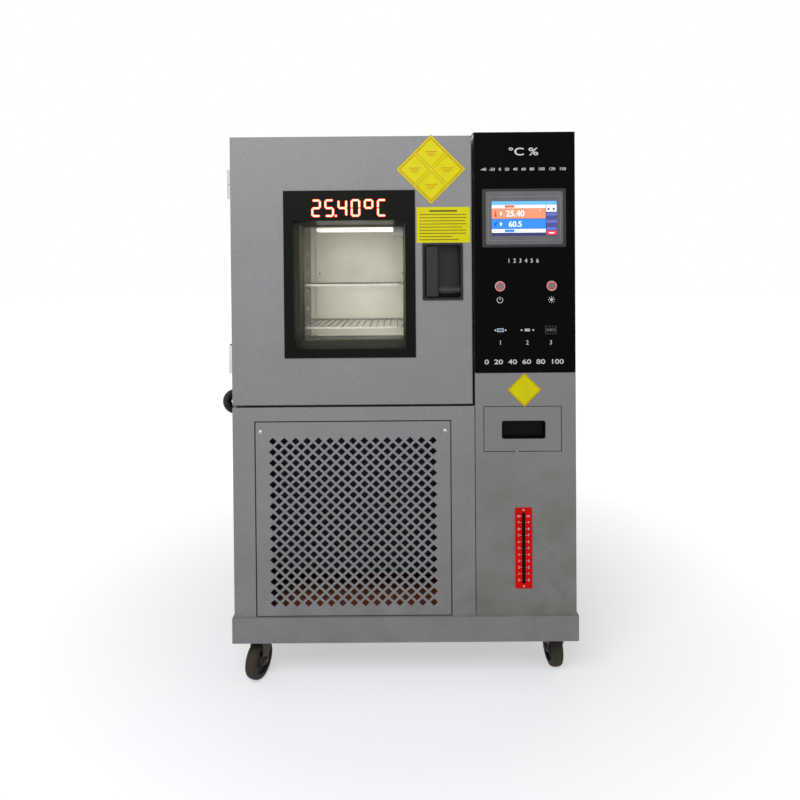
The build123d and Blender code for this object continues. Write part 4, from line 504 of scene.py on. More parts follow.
def handling_marks_group():
    """Thin rubs and smears left by hands and tools."""
    group, nodes, links, start, end = socketed(
        "Handling Marks",
        (
            ("Vector", "NodeSocketVector", None),
            ("Color", "NodeSocketColor", (0.3, 0.3, 0.3, 1)),
            ("Mark Color", "NodeSocketColor", (0.5, 0.5, 0.5, 1)),
            ("Amount", "NodeSocketFloat", 0.2),
            ("Scale", "NodeSocketFloat", 30.0),
        ),
        (("Color", "NodeSocketColor"), ("Mask", "NodeSocketFloat")),
    )
    rubs = noise(nodes, links, start.outputs["Vector"], start.outputs["Scale"], 6.0, 0.7)
    area = noise(nodes, links, start.outputs["Vector"], 3.0, 2.0)
    sharp = ranged(nodes, links, rubs, 0.56, 0.72)
    where = ranged(nodes, links, area, 0.45, 0.65)
    both = math_node(nodes, links, "MULTIPLY", sharp, where)
    mask = math_node(nodes, links, "MULTIPLY", both, start.outputs["Amount"], clamp=True)
    marked = mixed(nodes, links, mask, start.outputs["Color"], start.outputs["Mark Color"])
    links.new(marked, end.inputs["Color"])
    links.new(mask, end.inputs["Mask"])
    return group


def varied(tint, share):
    """A colour made darker or lighter by a share, no brighter than white."""
    return [min(1, c * share) for c in tint]


def effect(nodes, group_name, **values):
    """Place a shared effect in a material and set its plain inputs."""
    node = nodes.new("ShaderNodeGroup")
    node.node_tree = bpy.data.node_groups[group_name]
    for label, value in values.items():
        socket = node.inputs[label.replace("_", " ").title()]
        socket.default_value = (*value, 1) if socket.type == "RGBA" else value
    return node


# Materials


def blank_material(name):
    """Material with its tree, its Principled shader and the object coordinates."""
    material = bpy.data.materials.new(name)
    material.use_nodes = True
    nodes = material.node_tree.nodes
    links = material.node_tree.links
    where = nodes.new("ShaderNodeTexCoord").outputs["Object"]
    return material, nodes, links, nodes["Principled BSDF"], where


def bump(nodes, links, shader, height, strength, distance):
    """Feed a height to a shader's normal."""
    node = nodes.new("ShaderNodeBump")
    node.inputs["Strength"].default_value = strength
    node.inputs["Distance"].default_value = distance
    links.new(height, node.inputs["Height"])
    links.new(node.outputs["Normal"], shader.inputs["Normal"])


def coated(name, tint, roughness=0.5, peel=0.35, dust_and_shade_amount=0.25, reach=0.5, marks=0.15, spread=0.05, shine=0.4):
    """Powder-coated sheet: peel, slow mottle, painted shade low down with dust on faces that look up, and a
    few rubs.
    """
    material, nodes, links, shader, where = blank_material(name)
    coat = effect(nodes, "Coat Texture")
    links.new(where, coat.inputs["Vector"])
    base = mixed(nodes, links, coat.outputs["Mottle"], varied(tint, 1 - spread), varied(tint, 1 + spread))
    base = mixed(nodes, links, 1.0, base, coat.outputs["Grain"], "MULTIPLY")
    rubbed = effect(nodes, "Handling Marks", mark_color=[min(1, c * 1.5 + 0.02) for c in tint], amount=marks)
    links.new(where, rubbed.inputs["Vector"])
    links.new(base, rubbed.inputs["Color"])
    # Painted shade darkens the lower parts; faces that look up also take dust.
    dust_and_shade = effect(nodes, "Dust And Low Shade", amount=dust_and_shade_amount, reach=reach)
    links.new(where, dust_and_shade.inputs["Vector"])
    links.new(rubbed.outputs["Color"], dust_and_shade.inputs["Color"])
    links.new(dust_and_shade.outputs["Color"], shader.inputs["Base Color"])
    rough = ranged(nodes, links, coat.outputs["Mottle"], 0, 1, roughness - 0.05, roughness + 0.05)
    rough = math_node(nodes, links, "ADD", rough, dust_and_shade.outputs["Mask"], clamp=True)
    links.new(rough, shader.inputs["Roughness"])
    shader.inputs["Specular IOR Level"].default_value = shine
    bump(nodes, links, shader, coat.outputs["Height"], peel, 0.0004)
    return material


def moulded(name, tint, roughness=0.4, grain=0.12, gloss=0.0, marks=0.1, shine=0.3):
    """Moulded plastic or rubber: fine grain, soft mottle, a few rubs."""
    material, nodes, links, shader, where = blank_material(name)
    coat = effect(nodes, "Coat Texture", peel_scale=1600.0, mottle_scale=16.0)
    links.new(where, coat.inputs["Vector"])
    base = mixed(nodes, links, coat.outputs["Mottle"], varied(tint, 0.9), varied(tint, 1.08))
    rubbed = effect(nodes, "Handling Marks", mark_color=[min(1, c * 1.4 + 0.03) for c in tint], amount=marks)
    links.new(where, rubbed.inputs["Vector"])
    links.new(base, rubbed.inputs["Color"])
    links.new(rubbed.outputs["Color"], shader.inputs["Base Color"])
    rough = ranged(nodes, links, coat.outputs["Mottle"], 0, 1, roughness - 0.04, roughness + 0.06)
    links.new(rough, shader.inputs["Roughness"])
    shader.inputs["Specular IOR Level"].default_value = shine
    shader.inputs["Coat Weight"].default_value = gloss
    shader.inputs["Coat Roughness"].default_value = 0.12
    bump(nodes, links, shader, coat.outputs["Height"], grain, 0.0003)
    return material


def brushed(name, tint, roughness=0.32, stretch=(2.0, 2.0, 260.0), strength=0.12, metallic=1.0, shine=0.5,
            fade=None):
    """Brushed steel with lines along one direction; fade names two heights: the colour is dark below the
    lower one, as painted shade, and gets paler up to the higher one.
    """
    material, nodes, links, shader, where = blank_material(name)
    lines = effect(nodes, "Brushed Lines", stretch=stretch)
    links.new(where, lines.inputs["Vector"])
    base = mixed(nodes, links, lines.outputs["Streak"], varied(tint, 0.86), varied(tint, 1.06))
    if fade:
        # Painted shade: darker towards the lower height.
        split = nodes.new("ShaderNodeSeparateXYZ")
        links.new(where, split.inputs["Vector"])
        up = ranged(nodes, links, split.outputs["Z"], *fade)
        base = mixed(nodes, links, up, varied(tint, 0.12), base)
    smeared = effect(nodes, "Handling Marks", mark_color=varied(tint, 0.8), amount=0.3, scale=12.0)
    links.new(where, smeared.inputs["Vector"])
    links.new(base, smeared.inputs["Color"])
    links.new(smeared.outputs["Color"], shader.inputs["Base Color"])
    rough = ranged(nodes, links, lines.outputs["Streak"], 0, 1, roughness + 0.08, roughness - 0.06)
    links.new(rough, shader.inputs["Roughness"])
    shader.inputs["Metallic"].default_value = metallic
    shader.inputs["Specular IOR Level"].default_value = shine
    bump(nodes, links, shader, lines.outputs["Height"], strength, 0.0002)
    return material


def lit(name, tint, strength, roughness=0.4):
    """Self-lit surface with a faint unevenness, for figures, lamps and screens."""
    material, nodes, links, shader, where = blank_material(name)
    spots = ranged(nodes, links, noise(nodes, links, where, 60.0, 2.0), 0.3, 0.7)
    glow = mixed(nodes, links, spots, varied(tint, 0.93), tint)
    links.new(glow, shader.inputs["Emission Color"])
    links.new(glow, shader.inputs["Base Color"])
    shader.inputs["Emission Strength"].default_value = strength
    shader.inputs["Roughness"].default_value = roughness
    return material


def tube_glow(name, tint, strength, seen_strength):
    """Lamp tube that lights what is around it and looks plain white to the camera."""
    material, nodes, links, shader, where = blank_material(name)
    seen = nodes.new("ShaderNodeLightPath").outputs["Is Camera Ray"]
    ends = nodes.new("ShaderNodeSeparateXYZ")
    links.new(where, ends.inputs["Vector"])
    dim_end = -0.27
    full_from = -0.12
    fade = ranged(nodes, links, ends.outputs["X"], dim_end, full_from, 0.35, 1.0)
    calm = math_node(nodes, links, "MULTIPLY", fade, seen_strength)
    level = nodes.new("ShaderNodeMix")
    links.new(seen, level.inputs["Factor"])
    level.inputs["A"].default_value = strength
    links.new(calm, level.inputs["B"])
    links.new(level.outputs["Result"], shader.inputs["Emission Strength"])
    shader.inputs["Emission Color"].default_value = (*tint, 1)
    shader.inputs["Base Color"].default_value = (*tint, 1)
    return material


def clear_pane(name, tint, alpha):
    """Flat glass that lets the lamp's light through."""
    material, nodes, links, shader, where = blank_material(name)
    smears = ranged(nodes, links, noise(nodes, links, where, 9.0, 5.0), 0.35, 0.8, 0.02, 0.10)
    links.new(smears, shader.inputs["Roughness"])
    shader.inputs["Base Color"].default_value = (*tint, 1)
    film = ranged(nodes, links, noise(nodes, links, where, 5.0, 3.0), 0.3, 0.7, alpha * 0.8, alpha * 1.2)
    links.new(film, shader.inputs["Alpha"])
    return material


def printed(name, tint, roughness=0.45):
    """Ink or thin film with a slightly uneven edge-to-edge tone."""
    material, nodes, links, shader, where = blank_material(name)
    tone = ranged(nodes, links, noise(nodes, links, where, 40.0, 3.0), 0.3, 0.7)
    base = mixed(nodes, links, tone, varied(tint, 0.94), varied(tint, 1.03))
    links.new(base, shader.inputs["Base Color"])
    shader.inputs["Roughness"].default_value = roughness
    shader.inputs["Specular IOR Level"].default_value = 0.2
    return material


def finish(name):
    """A material by name."""
    return bpy.data.materials[name]


def make_materials(paint):
    """All effects and materials, made once."""
    coat_texture_group()
    settled_dust_group()
    brushed_lines_group()
    handling_marks_group()
    # The fifth and sixth arguments set the painted shade that darkens the lower parts, with dust on faces
    # that look up.
    coated("Cabinet Coat", paint.cabinet, 0.52, 0.30, 0.45, 0.90)
    # The column and drawer coat is the cabinet paint made darker and warmer, with stronger darkening low
    # down: painted shade where the column gets less light.
    coated("Column Coat Painted Shade", [c * s for c, s in zip(paint.cabinet, (0.92, 0.92, 0.87))], 0.52, 0.30, 0.70, 0.90)
    coated("Plinth Coat", paint.cabinet, 0.55, 0.30, 0.45, 0.55)
    coated("Panel Black", paint.panel, 0.40, 0.12, 0.02, 0.6, 0.05, 0.08, 0.03)
    coated("Window Black", paint.window, 0.42, 0.16, 0.03, 0.6, 0.06, 0.08, 0.06)
    moulded("Handle Black", linear(15, 16, 17), 0.30, 0.06, 0.08)
    moulded("Lever Black", linear(34, 36, 38), 0.34, 0.06, 0.1)
    moulded("Dark Plastic", linear(30, 30, 32), 0.42)
    moulded("Pull Black", linear(5, 5, 6), 0.45, 0.06, 0.0, 0.05, 0.08)
    moulded("Bezel Dark", linear(52, 52, 55), 0.38, 0.08)
    moulded("Bezel Grey", linear(112, 112, 118), 0.42, 0.08)
    moulded("Bezel Lip", linear(138, 138, 144), 0.38, 0.05)
    moulded("Seal Rubber", linear(196, 196, 190), 0.6, 0.2)
    moulded("Conduit Rubber", linear(18, 18, 19), 0.45, 0.25, 0.1)
    moulded("Tread Rubber", paint.tread, 0.75, 0.7, 0.0, 0.6)
    moulded("Hub Plastic", linear(36, 32, 29), 0.6, 0.3, 0.0, 0.4)
    moulded("Tank Plastic", linear(205, 210, 212), 0.35, 0.1)
    moulded("Digit White", linear(222, 222, 218), 0.45, 0.05)
    moulded("Button Grey", linear(128, 122, 122), 0.3, 0.04, 0.5)
    moulded("Gauge Red", paint.gauge, 0.5, 0.05, 0.0, 0.05, 0.12)
    moulded("Serial Blue", linear(70, 120, 180), 0.4, 0.05)
    moulded("Insulation", linear(222, 206, 150), 0.9, 0.8)
    moulded("Tray Board", paint.tray, 0.75, 0.5, 0.0, 0.5)
    moulded("Board Grey", linear(190, 192, 194), 0.5, 0.1)
    moulded("Motor Black", linear(30, 30, 32), 0.5, 0.35, 0.1, 0.3)
    brushed("Chamber Steel", paint.steel, 0.42, (2.0, 2.0, 260.0), 0.08, 0.25)
    brushed("Shelf Steel", linear(138, 137, 128), 0.42, (60.0, 60.0, 60.0), 0.05, 0.6)
    # The reveal and its bead darken towards the bottom of the panes as painted shade.
    pane_low, pane_high, pane, pane_size = dims("window_panes")
    fade = (pane_low.z, pane_high.z - pane_size.z * 0.35)
    brushed("Reveal Steel Painted Shade", linear(142, 138, 112), 0.55, (2.0, 2.0, 260.0), 0.08, 0.0, 0.06, fade)
    brushed("Hinge Chrome", linear(214, 214, 216), 0.16, (90.0, 90.0, 4.0), 0.04)
    brushed("Zinc Steel", linear(176, 178, 180), 0.38, (24.0, 24.0, 24.0), 0.10)
    brushed("Fork Steel", linear(74, 68, 62), 0.48, (18.0, 18.0, 18.0), 0.25, 0.6)
    brushed("Socket Metal", linear(206, 206, 208), 0.25, (40.0, 40.0, 40.0), 0.04)
    brushed("Copper Pipe", linear(196, 120, 70), 0.34, (30.0, 30.0, 30.0), 0.06)
    brushed("Fitting Brass", linear(196, 160, 86), 0.30, (30.0, 30.0, 30.0), 0.05)
    brushed("Fin Blue", linear(16, 30, 46), 0.50, (4.0, 4.0, 120.0), 0.10, 0.4)
    brushed("Fin Bare", linear(150, 156, 160), 0.42, (4.0, 4.0, 120.0), 0.10, 0.8)
    brushed("Screw Steel", linear(196, 194, 188), 0.26, (40.0, 40.0, 40.0), 0.05)
    printed("Screw Slot", linear(34, 33, 32), 0.6)
    printed("Ink White", linear(232, 232, 232))
    printed("Label Yellow", paint.label, 0.4)
    printed("Label Rule", paint.label_line, 0.45)
    printed("Label Grey", linear(104, 98, 30), 0.5)
    printed("Label Edge", linear(96, 100, 128), 0.5)
    clear_pane("Outer Pane", linear(214, 214, 204), 0.012)
    tube_glow("Lamp Glow", linear(255, 250, 236), 1.6, 1.2)
    lit("Readout Core", linear(255, 226, 180), 1.0)
    lit("Readout Edge", paint.glow, 1.3)
    lit("Ring Glow", paint.button, 0.45, 0.25)


def scene_settings():
    """The four groups of settings on the scene."""
    scene = bpy.context.scene
    return scene.chamber_colours, scene.chamber_figures, scene.chamber_sizes, scene.chamber_stage


# Small repeated pieces


def screw(name, centre, axis, radius):
    """Domed screw with a cross recess; centre lies on the surface, axis points out of it."""
    rise = radius * 0.5
    profile = [(0, radius), (rise * 0.35, radius), (rise * 0.8, radius * 0.72)]
    profile += [(rise, radius * 0.35), (rise, 0)]
    head = lathe(name, profile, centre, axis, finish("Screw Steel"), 24)
    out = Vector(axis).normalized()
    across = out.orthogonal().normalized()
    other = out.cross(across)
    top = Vector(centre) + out * rise
    reach = radius * 0.5
    half_slot = radius * 0.11
    lift = 0.00004
    bars = []
    for i, (along, aside) in enumerate(((across, other), (other, across))):
        bm = bmesh.new()
        corners = []
        for s, t in ((1, 1), (-1, 1), (-1, -1), (1, -1)):
            spot = along * reach * s + aside * half_slot * t + out * lift
            corners.append(bm.verts.new(top + spot))
        bm.faces.new(corners)
        bars.append(object_from(f"{name}_slot{i}", bm, finish("Screw Slot"), smooth=False))
    return joined(name, [head, *bars])


def screws(name, centres, axis, radius, body):
    """A set of like screws as one piece."""
    heads = [screw(f"{name}_{i}", centre, axis, radius) for i, centre in enumerate(centres)]
    return add(joined(name, heads), body)


def rule(name, centre, width, height, material, depth):
    """Thin printed bar that faces -Y."""
    return slab(name, outline_of(width, height), centre, depth, material)


def outline_of(width, height):
    """Plain rectangle around the origin."""
    across = width / 2
    upward = height / 2
    return [(across, upward), (-across, upward), (-across, -upward), (across, -upward)]


def segment_bars(sign, width, height, stroke):
    """Outlines of the lit bars of one figure, around the middle of its cell."""
    lit_bars = {
        "0": "abcdef", "1": "bc", "2": "abged", "3": "abgcd", "4": "fgbc", "5": "afgcd", "6": "afgedc",
        "7": "abc", "8": "abcdefg", "9": "abcdfg", "C": "afed", "°": "abfg", "-": "g",
    }
    side = width / 2
    top = height / 2
    places = {
        "a": (0, top, 0), "g": (0, 0, 0), "d": (0, -top, 0), "f": (-side, top / 2, 1),
        "b": (side, top / 2, 1), "e": (-side, -top / 2, 1), "c": (side, -top / 2, 1),
    }
    half = stroke / 2
    bars = []
    for bar in lit_bars[sign]:
        x, z, upright = places[bar]
        run = (top if upright else width) / 2 - half * 0.35
        ends = [(run, 0), (run - half, half), (-run + half, half)]
        ends += [(-run, 0), (-run + half, -half), (run - half, -half)]
        bars.append([(x + (b if upright else a), z + (-a if upright else b)) for a, b in ends])
    return bars


def grown_outline(outline, extra):
    """The outline moved outwards from its own middle by about a width."""
    middle = Vector((sum(p[0] for p in outline), sum(p[1] for p in outline))) / len(outline)
    grown = []
    for point in outline:
        away = Vector(point) - middle
        steps = [math.copysign(extra, part) if abs(part) > 1e-6 else 0.0 for part in away]
        grown.append((point[0] + steps[0], point[1] + steps[1]))
    return grown


def diamond_of(reach):
    """Square standing on its corner around the origin."""
    return [(reach, 0), (0, reach), (-reach, 0), (0, -reach)]


# Operators, one for each piece or group of pieces


class ChamberOperator:
    """What the operators have in common."""

    bl_options = {"REGISTER", "UNDO"}


class CHAMBER_OT_materials(ChamberOperator, bpy.types.Operator):
    """Make the shared shader effects and every material"""

    bl_idname = "chamber.materials"
    bl_label = "Materials"

    def execute(self, context):
        make_materials(scene_settings()[0])
        return {"FINISHED"}


class CHAMBER_OT_cabinet(ChamberOperator, bpy.types.Operator):
    """Finish the skins, plinth, inner walls and machine bay"""

    bl_idname = "chamber.cabinet"
    bl_label = "Cabinet"

    def execute(self, context):
        clothe(
            finish("Cabinet Coat"), "lower_front_frame", "left_side_panel", "right_side_panel",
            "back_panel", "top_panel", "grille_panel", "door_shell",
        )
        # Darker copy of the cabinet paint: painted shade on the column and drawer.
        clothe(finish("Column Coat Painted Shade"), "column_front", "water_drawer")
        clothe(finish("Plinth Coat"), "base_frame")
        clothe(finish("Panel Black"), "control_panel")
        clothe(finish("Zinc Steel"), "inner_bulkhead", "drawer_runners")
        clothe(finish("Chamber Steel"), "chamber_liner", "air_baffle", "door_inner_pan", "cable_port")
        clothe(finish("Shelf Steel"), "wire_shelves", "shelf_uprights")
        clothe(finish("Insulation"), "chamber_insulation", "door_insulation")
        clothe(finish("Fin Blue"), "condenser")
        clothe(finish("Fin Bare"), "air_coils")
        clothe(finish("Motor Black"), "compressor", "fan_motor")
        clothe(finish("Copper Pipe"), "refrigerant_pipes")
        clothe(finish("Board Grey"), "electrical_panel")
        clothe(finish("Fitting Brass"), "rear_fittings")
        clothe(finish("Zinc Steel"), "circulation_fan", "condenser_fan")
        clothe(finish("Tank Plastic"), "water_tank")
        return {"FINISHED"}


class CHAMBER_OT_fasteners(ChamberOperator, bpy.types.Operator):
    """Put the visible screws in the grille, hinges, back and baffle"""

    bl_idname = "chamber.fasteners"
    bl_label = "Fasteners"

    def execute(self, context):
        low, high, middle, size = dims("grille_panel")
        holes = [(low.x + 0.013, low.y, high.z - 0.026), (high.x - 0.013, low.y, high.z - 0.026)]
        screws("grille_screws", holes, (0, -1, 0), 0.0048, "cabinet")
        low, high, middle, size = dims("back_panel")
        edge = (0.02, 0.27, 0.5, 0.74, 0.97)
        clear_of_louvres = (0.02, 0.5, 0.97)
        back = []
        for x, shares in ((low.x + 0.02, edge), (middle.x, clear_of_louvres), (high.x - 0.02, edge)):
            for share in shares:
                back.append((x, high.y, low.z + size.z * share))
        screws("back_screws", back, (0, 1, 0), 0.0045, "cabinet")
        for node, body, axis_y in (("cabinet_hinge_arms", "cabinet", 1), ("door_hinge_arms", "door", -1)):
            low, high, middle, size = dims(node)
            skin_x = dims("left_side_panel")[0].x
            leaf_y = (high.y if axis_y > 0 else low.y) - axis_y * 0.012
            arm_height = 0.0408
            leaf_thickness = 0.003
            near = arm_height * 0.3
            far = arm_height * 0.7
            heights = [low.z + near, low.z + far, high.z - far, high.z - near]
            places = [(skin_x - leaf_thickness, leaf_y, z) for z in heights]
            screws(node + "_screws", places, (-1, 0, 0), 0.0038, body)
        low, high, middle, size = dims("air_baffle")
        sheet = 0.0012
        fold = 0.015
        face_y = high.y - sheet - fold
        inset = 0.055
        plates = []
        for x in (low.x + inset, high.x - inset):
            for share in (0.08, 0.5, 0.88):
                plates.append((x, face_y, low.z + size.z * share))
        screws("baffle_screws", plates, (0, -1, 0), 0.004, "cabinet")
        return {"FINISHED"}


class CHAMBER_OT_window(ChamberOperator, bpy.types.Operator):
    """Finish the window: frame, reveal, panes and lamp"""

    bl_idname = "chamber.window"
    bl_label = "Window"

    reveal_front: extent("Reveal front", "Width and height behind the outer pane", 0.3036, 0.3488)
    reveal_back: extent("Reveal back", "Width and height before the inner pane", 0.2902, 0.3268)
    plug_face: extent("Plug face", "Width and height of the sheet that closes the plug", 0.3715, 0.4715)
    plug_throat: extent("Plug throat", "Width and height of the window's hole in it", 0.2936, 0.3292)

    def execute(self, context):
        clothe(finish("Window Black"), "window_frame")
        clothe(finish("Outer Pane"), "window_panes")
        clothe(finish("Seal Rubber"), "door_seal")
        clothe(finish("Hinge Chrome"), "catch_rollers")
        pane_low, pane_high, pane, pane_size = dims("window_panes")
        door_low, door_high, door, door_size = dims("door_shell")
        front = Vector((door.x - 0.005, pane_low.y + 0.0045, pane.z - 0.0001))
        back = Vector((door.x - 0.0003, pane_high.y - 0.0045, pane.z + 0.0028))
        bm = bmesh.new()
        rings = []
        for place, (width, height) in ((front, self.reveal_front), (back, self.reveal_back)):
            rings.append([
                bm.verts.new((place.x + sx * width / 2, place.y, place.z + sz * height / 2))
                for sx, sz in ((1, 1), (-1, 1), (-1, -1), (1, -1))
            ])
        for i in range(4):
            j = (i + 1) % 4
            bm.faces.new((rings[0][i], rings[0][j], rings[1][j], rings[1][i]))
        add(object_from("reveal_liner", bm, finish("Reveal Steel Painted Shade"), smooth=False), "door")
        bead_out = outline_of(self.reveal_back[0] - 0.0006, self.reveal_back[1] - 0.0006)
        bead_in = outline_of(self.reveal_back[0] - 0.006, self.reveal_back[1] - 0.006)
        bead_centre = (back.x, back.y + 0.0002, back.z)
        bead = surround("inner_bead", bead_out, bead_in, bead_centre, 0.003, finish("Reveal Steel Painted Shade"), 0.0008)
        add(bead, "door")
        self.plug()
        self.lamp()
        return {"FINISHED"}

    def plug(self):
        """Sheet that closes the end of the door's raised plug, around the window's throat."""
        low, high, middle, size = dims("door_inner_pan")
        drop = 0.0027
        throat_drop = 0.0317
        centre = (middle.x, high.y - 0.00005, middle.z - drop)
        sheet = surround(
            "door_plug_face", outline_of(*self.plug_face), outline_of(*self.plug_throat), centre, 0.0014,
            finish("Chamber Steel"), 0.0, (0, -throat_drop),
        )
        add(sheet, "door")

    def lamp(self):
        """Twin tubes with a milky glow in a rounded socket."""
        low, high, middle, size = dims("window_lamp")
        socket_x = high.x - 0.031
        tube_z = high.z - 0.008
        pieces = []
        for i, y in enumerate((middle.y - 0.0075, middle.y + 0.0075)):
            profile = [(0, 0.0), (0.0012, 0.0032), (0.004, 0.0056), (0.007, 0.006), (socket_x - low.x, 0.006)]
            tube = lathe(f"lamp_tube_{i}", profile, (low.x, y, tube_z), (1, 0, 0), finish("Lamp Glow"), 20)
            pieces.append(tube)
        socket_low = (socket_x, low.y + 0.001, low.z + 0.001)
        socket_high = (high.x - 0.0003, high.y - 0.001, high.z - 0.0005)
        pieces.append(block("lamp_socket", socket_low, socket_high, finish("Digit White"), 0.003))
        lamp = add(joined("window_lamp_tubes", pieces), "door")
        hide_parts("window_lamp")


class CHAMBER_OT_readout(ChamberOperator, bpy.types.Operator):
    """Light the figures above the window"""

    bl_idname = "chamber.readout"
    bl_label = "Readout"

    width: length("Width", "Width of all figures", 0.214)
    stroke: length("Stroke", "Width of a lit bar", 0.0044)
    halo: length("Halo", "Red edge around a bar", 0.0013)

    def execute(self, context):
        figures = scene_settings()[1]
        low, high, middle, size = dims("window_frame")
        glyphs = [sign for sign in figures.readout if sign != "."]
        pitch = self.width / len(glyphs)
        height = 0.042
        middle_z = high.z - 0.048
        first_x = middle.x - (len(glyphs) - 1) / 2 * pitch
        edge_depth = 0.0004
        core_depth = 0.0003
        edges = []
        cores = []
        cell = -1
        for sign in figures.readout:
            if sign == ".":
                spot = (first_x + (cell + 0.5) * pitch, middle_z - height * 0.5)
                bars = [outline_of(self.stroke, self.stroke)]
            else:
                cell += 1
                spot = (first_x + cell * pitch, middle_z)
                bars = segment_bars(sign, pitch * 0.58, height, self.stroke)
            for bar in bars:
                wide = grown_outline(bar, self.halo)
                back = (spot[0], low.y, spot[1])
                edges.append(slab("readout_bar", wide, back, edge_depth, finish("Readout Edge")))
                front = (spot[0], low.y - edge_depth, spot[1])
                cores.append(slab("readout_bar", bar, front, core_depth, finish("Readout Core")))
        add(joined("readout_edge", edges), "door")
        add(joined("readout_core", cores), "door")
        return {"FINISHED"}


class CHAMBER_OT_handle(ChamberOperator, bpy.types.Operator):
    """Finish the recessed handle and its lever"""

    bl_idname = "chamber.handle"
    bl_label = "Handle"

    def execute(self, context):
        clothe(finish("Handle Black"), "handle_cup")
        low, high, middle, size = dims("handle_cup")
        outer = rounded_outline(size.x - 0.0004, size.z - 0.0004, 0.004)
        inner = rounded_outline(size.x - 0.012, size.z - 0.012, 0.007)
        trim_centre = (middle.x, low.y + 0.0004, middle.z)
        trim = surround("cup_trim", outer, inner, trim_centre, 0.0022, finish("Handle Black"), 0.0009)
        add(trim, "door")
        self.cup_floor(low, high, size)
        self.lever()
        return {"FINISHED"}

    def cup_floor(self, low, high, size):
        """Scooped lower ends of the cup, which catch the light."""
        wall = 0.0058
        deep = high.y - 0.0022
        scoop = 0.030
        bm = bmesh.new()
        strips = []
        for step in range(9):
            turn = math.radians(90 * step / 8)
            y = deep - scoop * (1 - math.cos(turn))
            z = low.z + wall + scoop * (1 - math.sin(turn))
            strips.append([bm.verts.new((x, y, z)) for x in (low.x + wall, high.x - wall)])
        for first, second in zip(strips, strips[1:]):
            bm.faces.new((first[0], first[1], second[1], second[0]))
        add(object_from("cup_scoop", bm, finish("Handle Black")), "door")

    def lever(self):
        """Smooth paddle with a curled free edge."""
        low, high, middle, size = dims("handle_lever")
        barrel = 0.0045
        pivot_x = low.x + barrel
        front = low.y
        edge_x = high.x
        section = [(pivot_x, front + 0.0005)]
        for step in range(9):
            turn = math.radians(-90 + 90 * step / 8)
            section.append((edge_x - 0.006 + 0.006 * math.cos(turn), front + 0.0065 + 0.006 * math.sin(turn)))
        section += [(edge_x, high.y), (edge_x - 0.003, high.y), (edge_x - 0.003, front + 0.0075)]
        section += [(edge_x - 0.008, front + 0.0045), (pivot_x + 0.004, front + 0.0045)]
        for step in range(11):
            turn = math.radians(20 + 245 * step / 10)
            centre_y = front + barrel
            section.append((pivot_x + barrel * math.cos(turn), centre_y + barrel * math.sin(turn)))
        bm = bmesh.new()
        ends = [[bm.verts.new((x, y, z)) for x, y in section] for z in (low.z, high.z)]
        bm.faces.new(ends[0])
        bm.faces.new(ends[1])
        count = len(section)
        for i in range(count):
            j = (i + 1) % count
            bm.faces.new((ends[0][i], ends[0][j], ends[1][j], ends[1][i]))
        soften(bm, 0.0006, 2, 50)
        paddle = add(object_from("lever_paddle", bm, finish("Lever Black")), "lever")
        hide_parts("handle_lever")


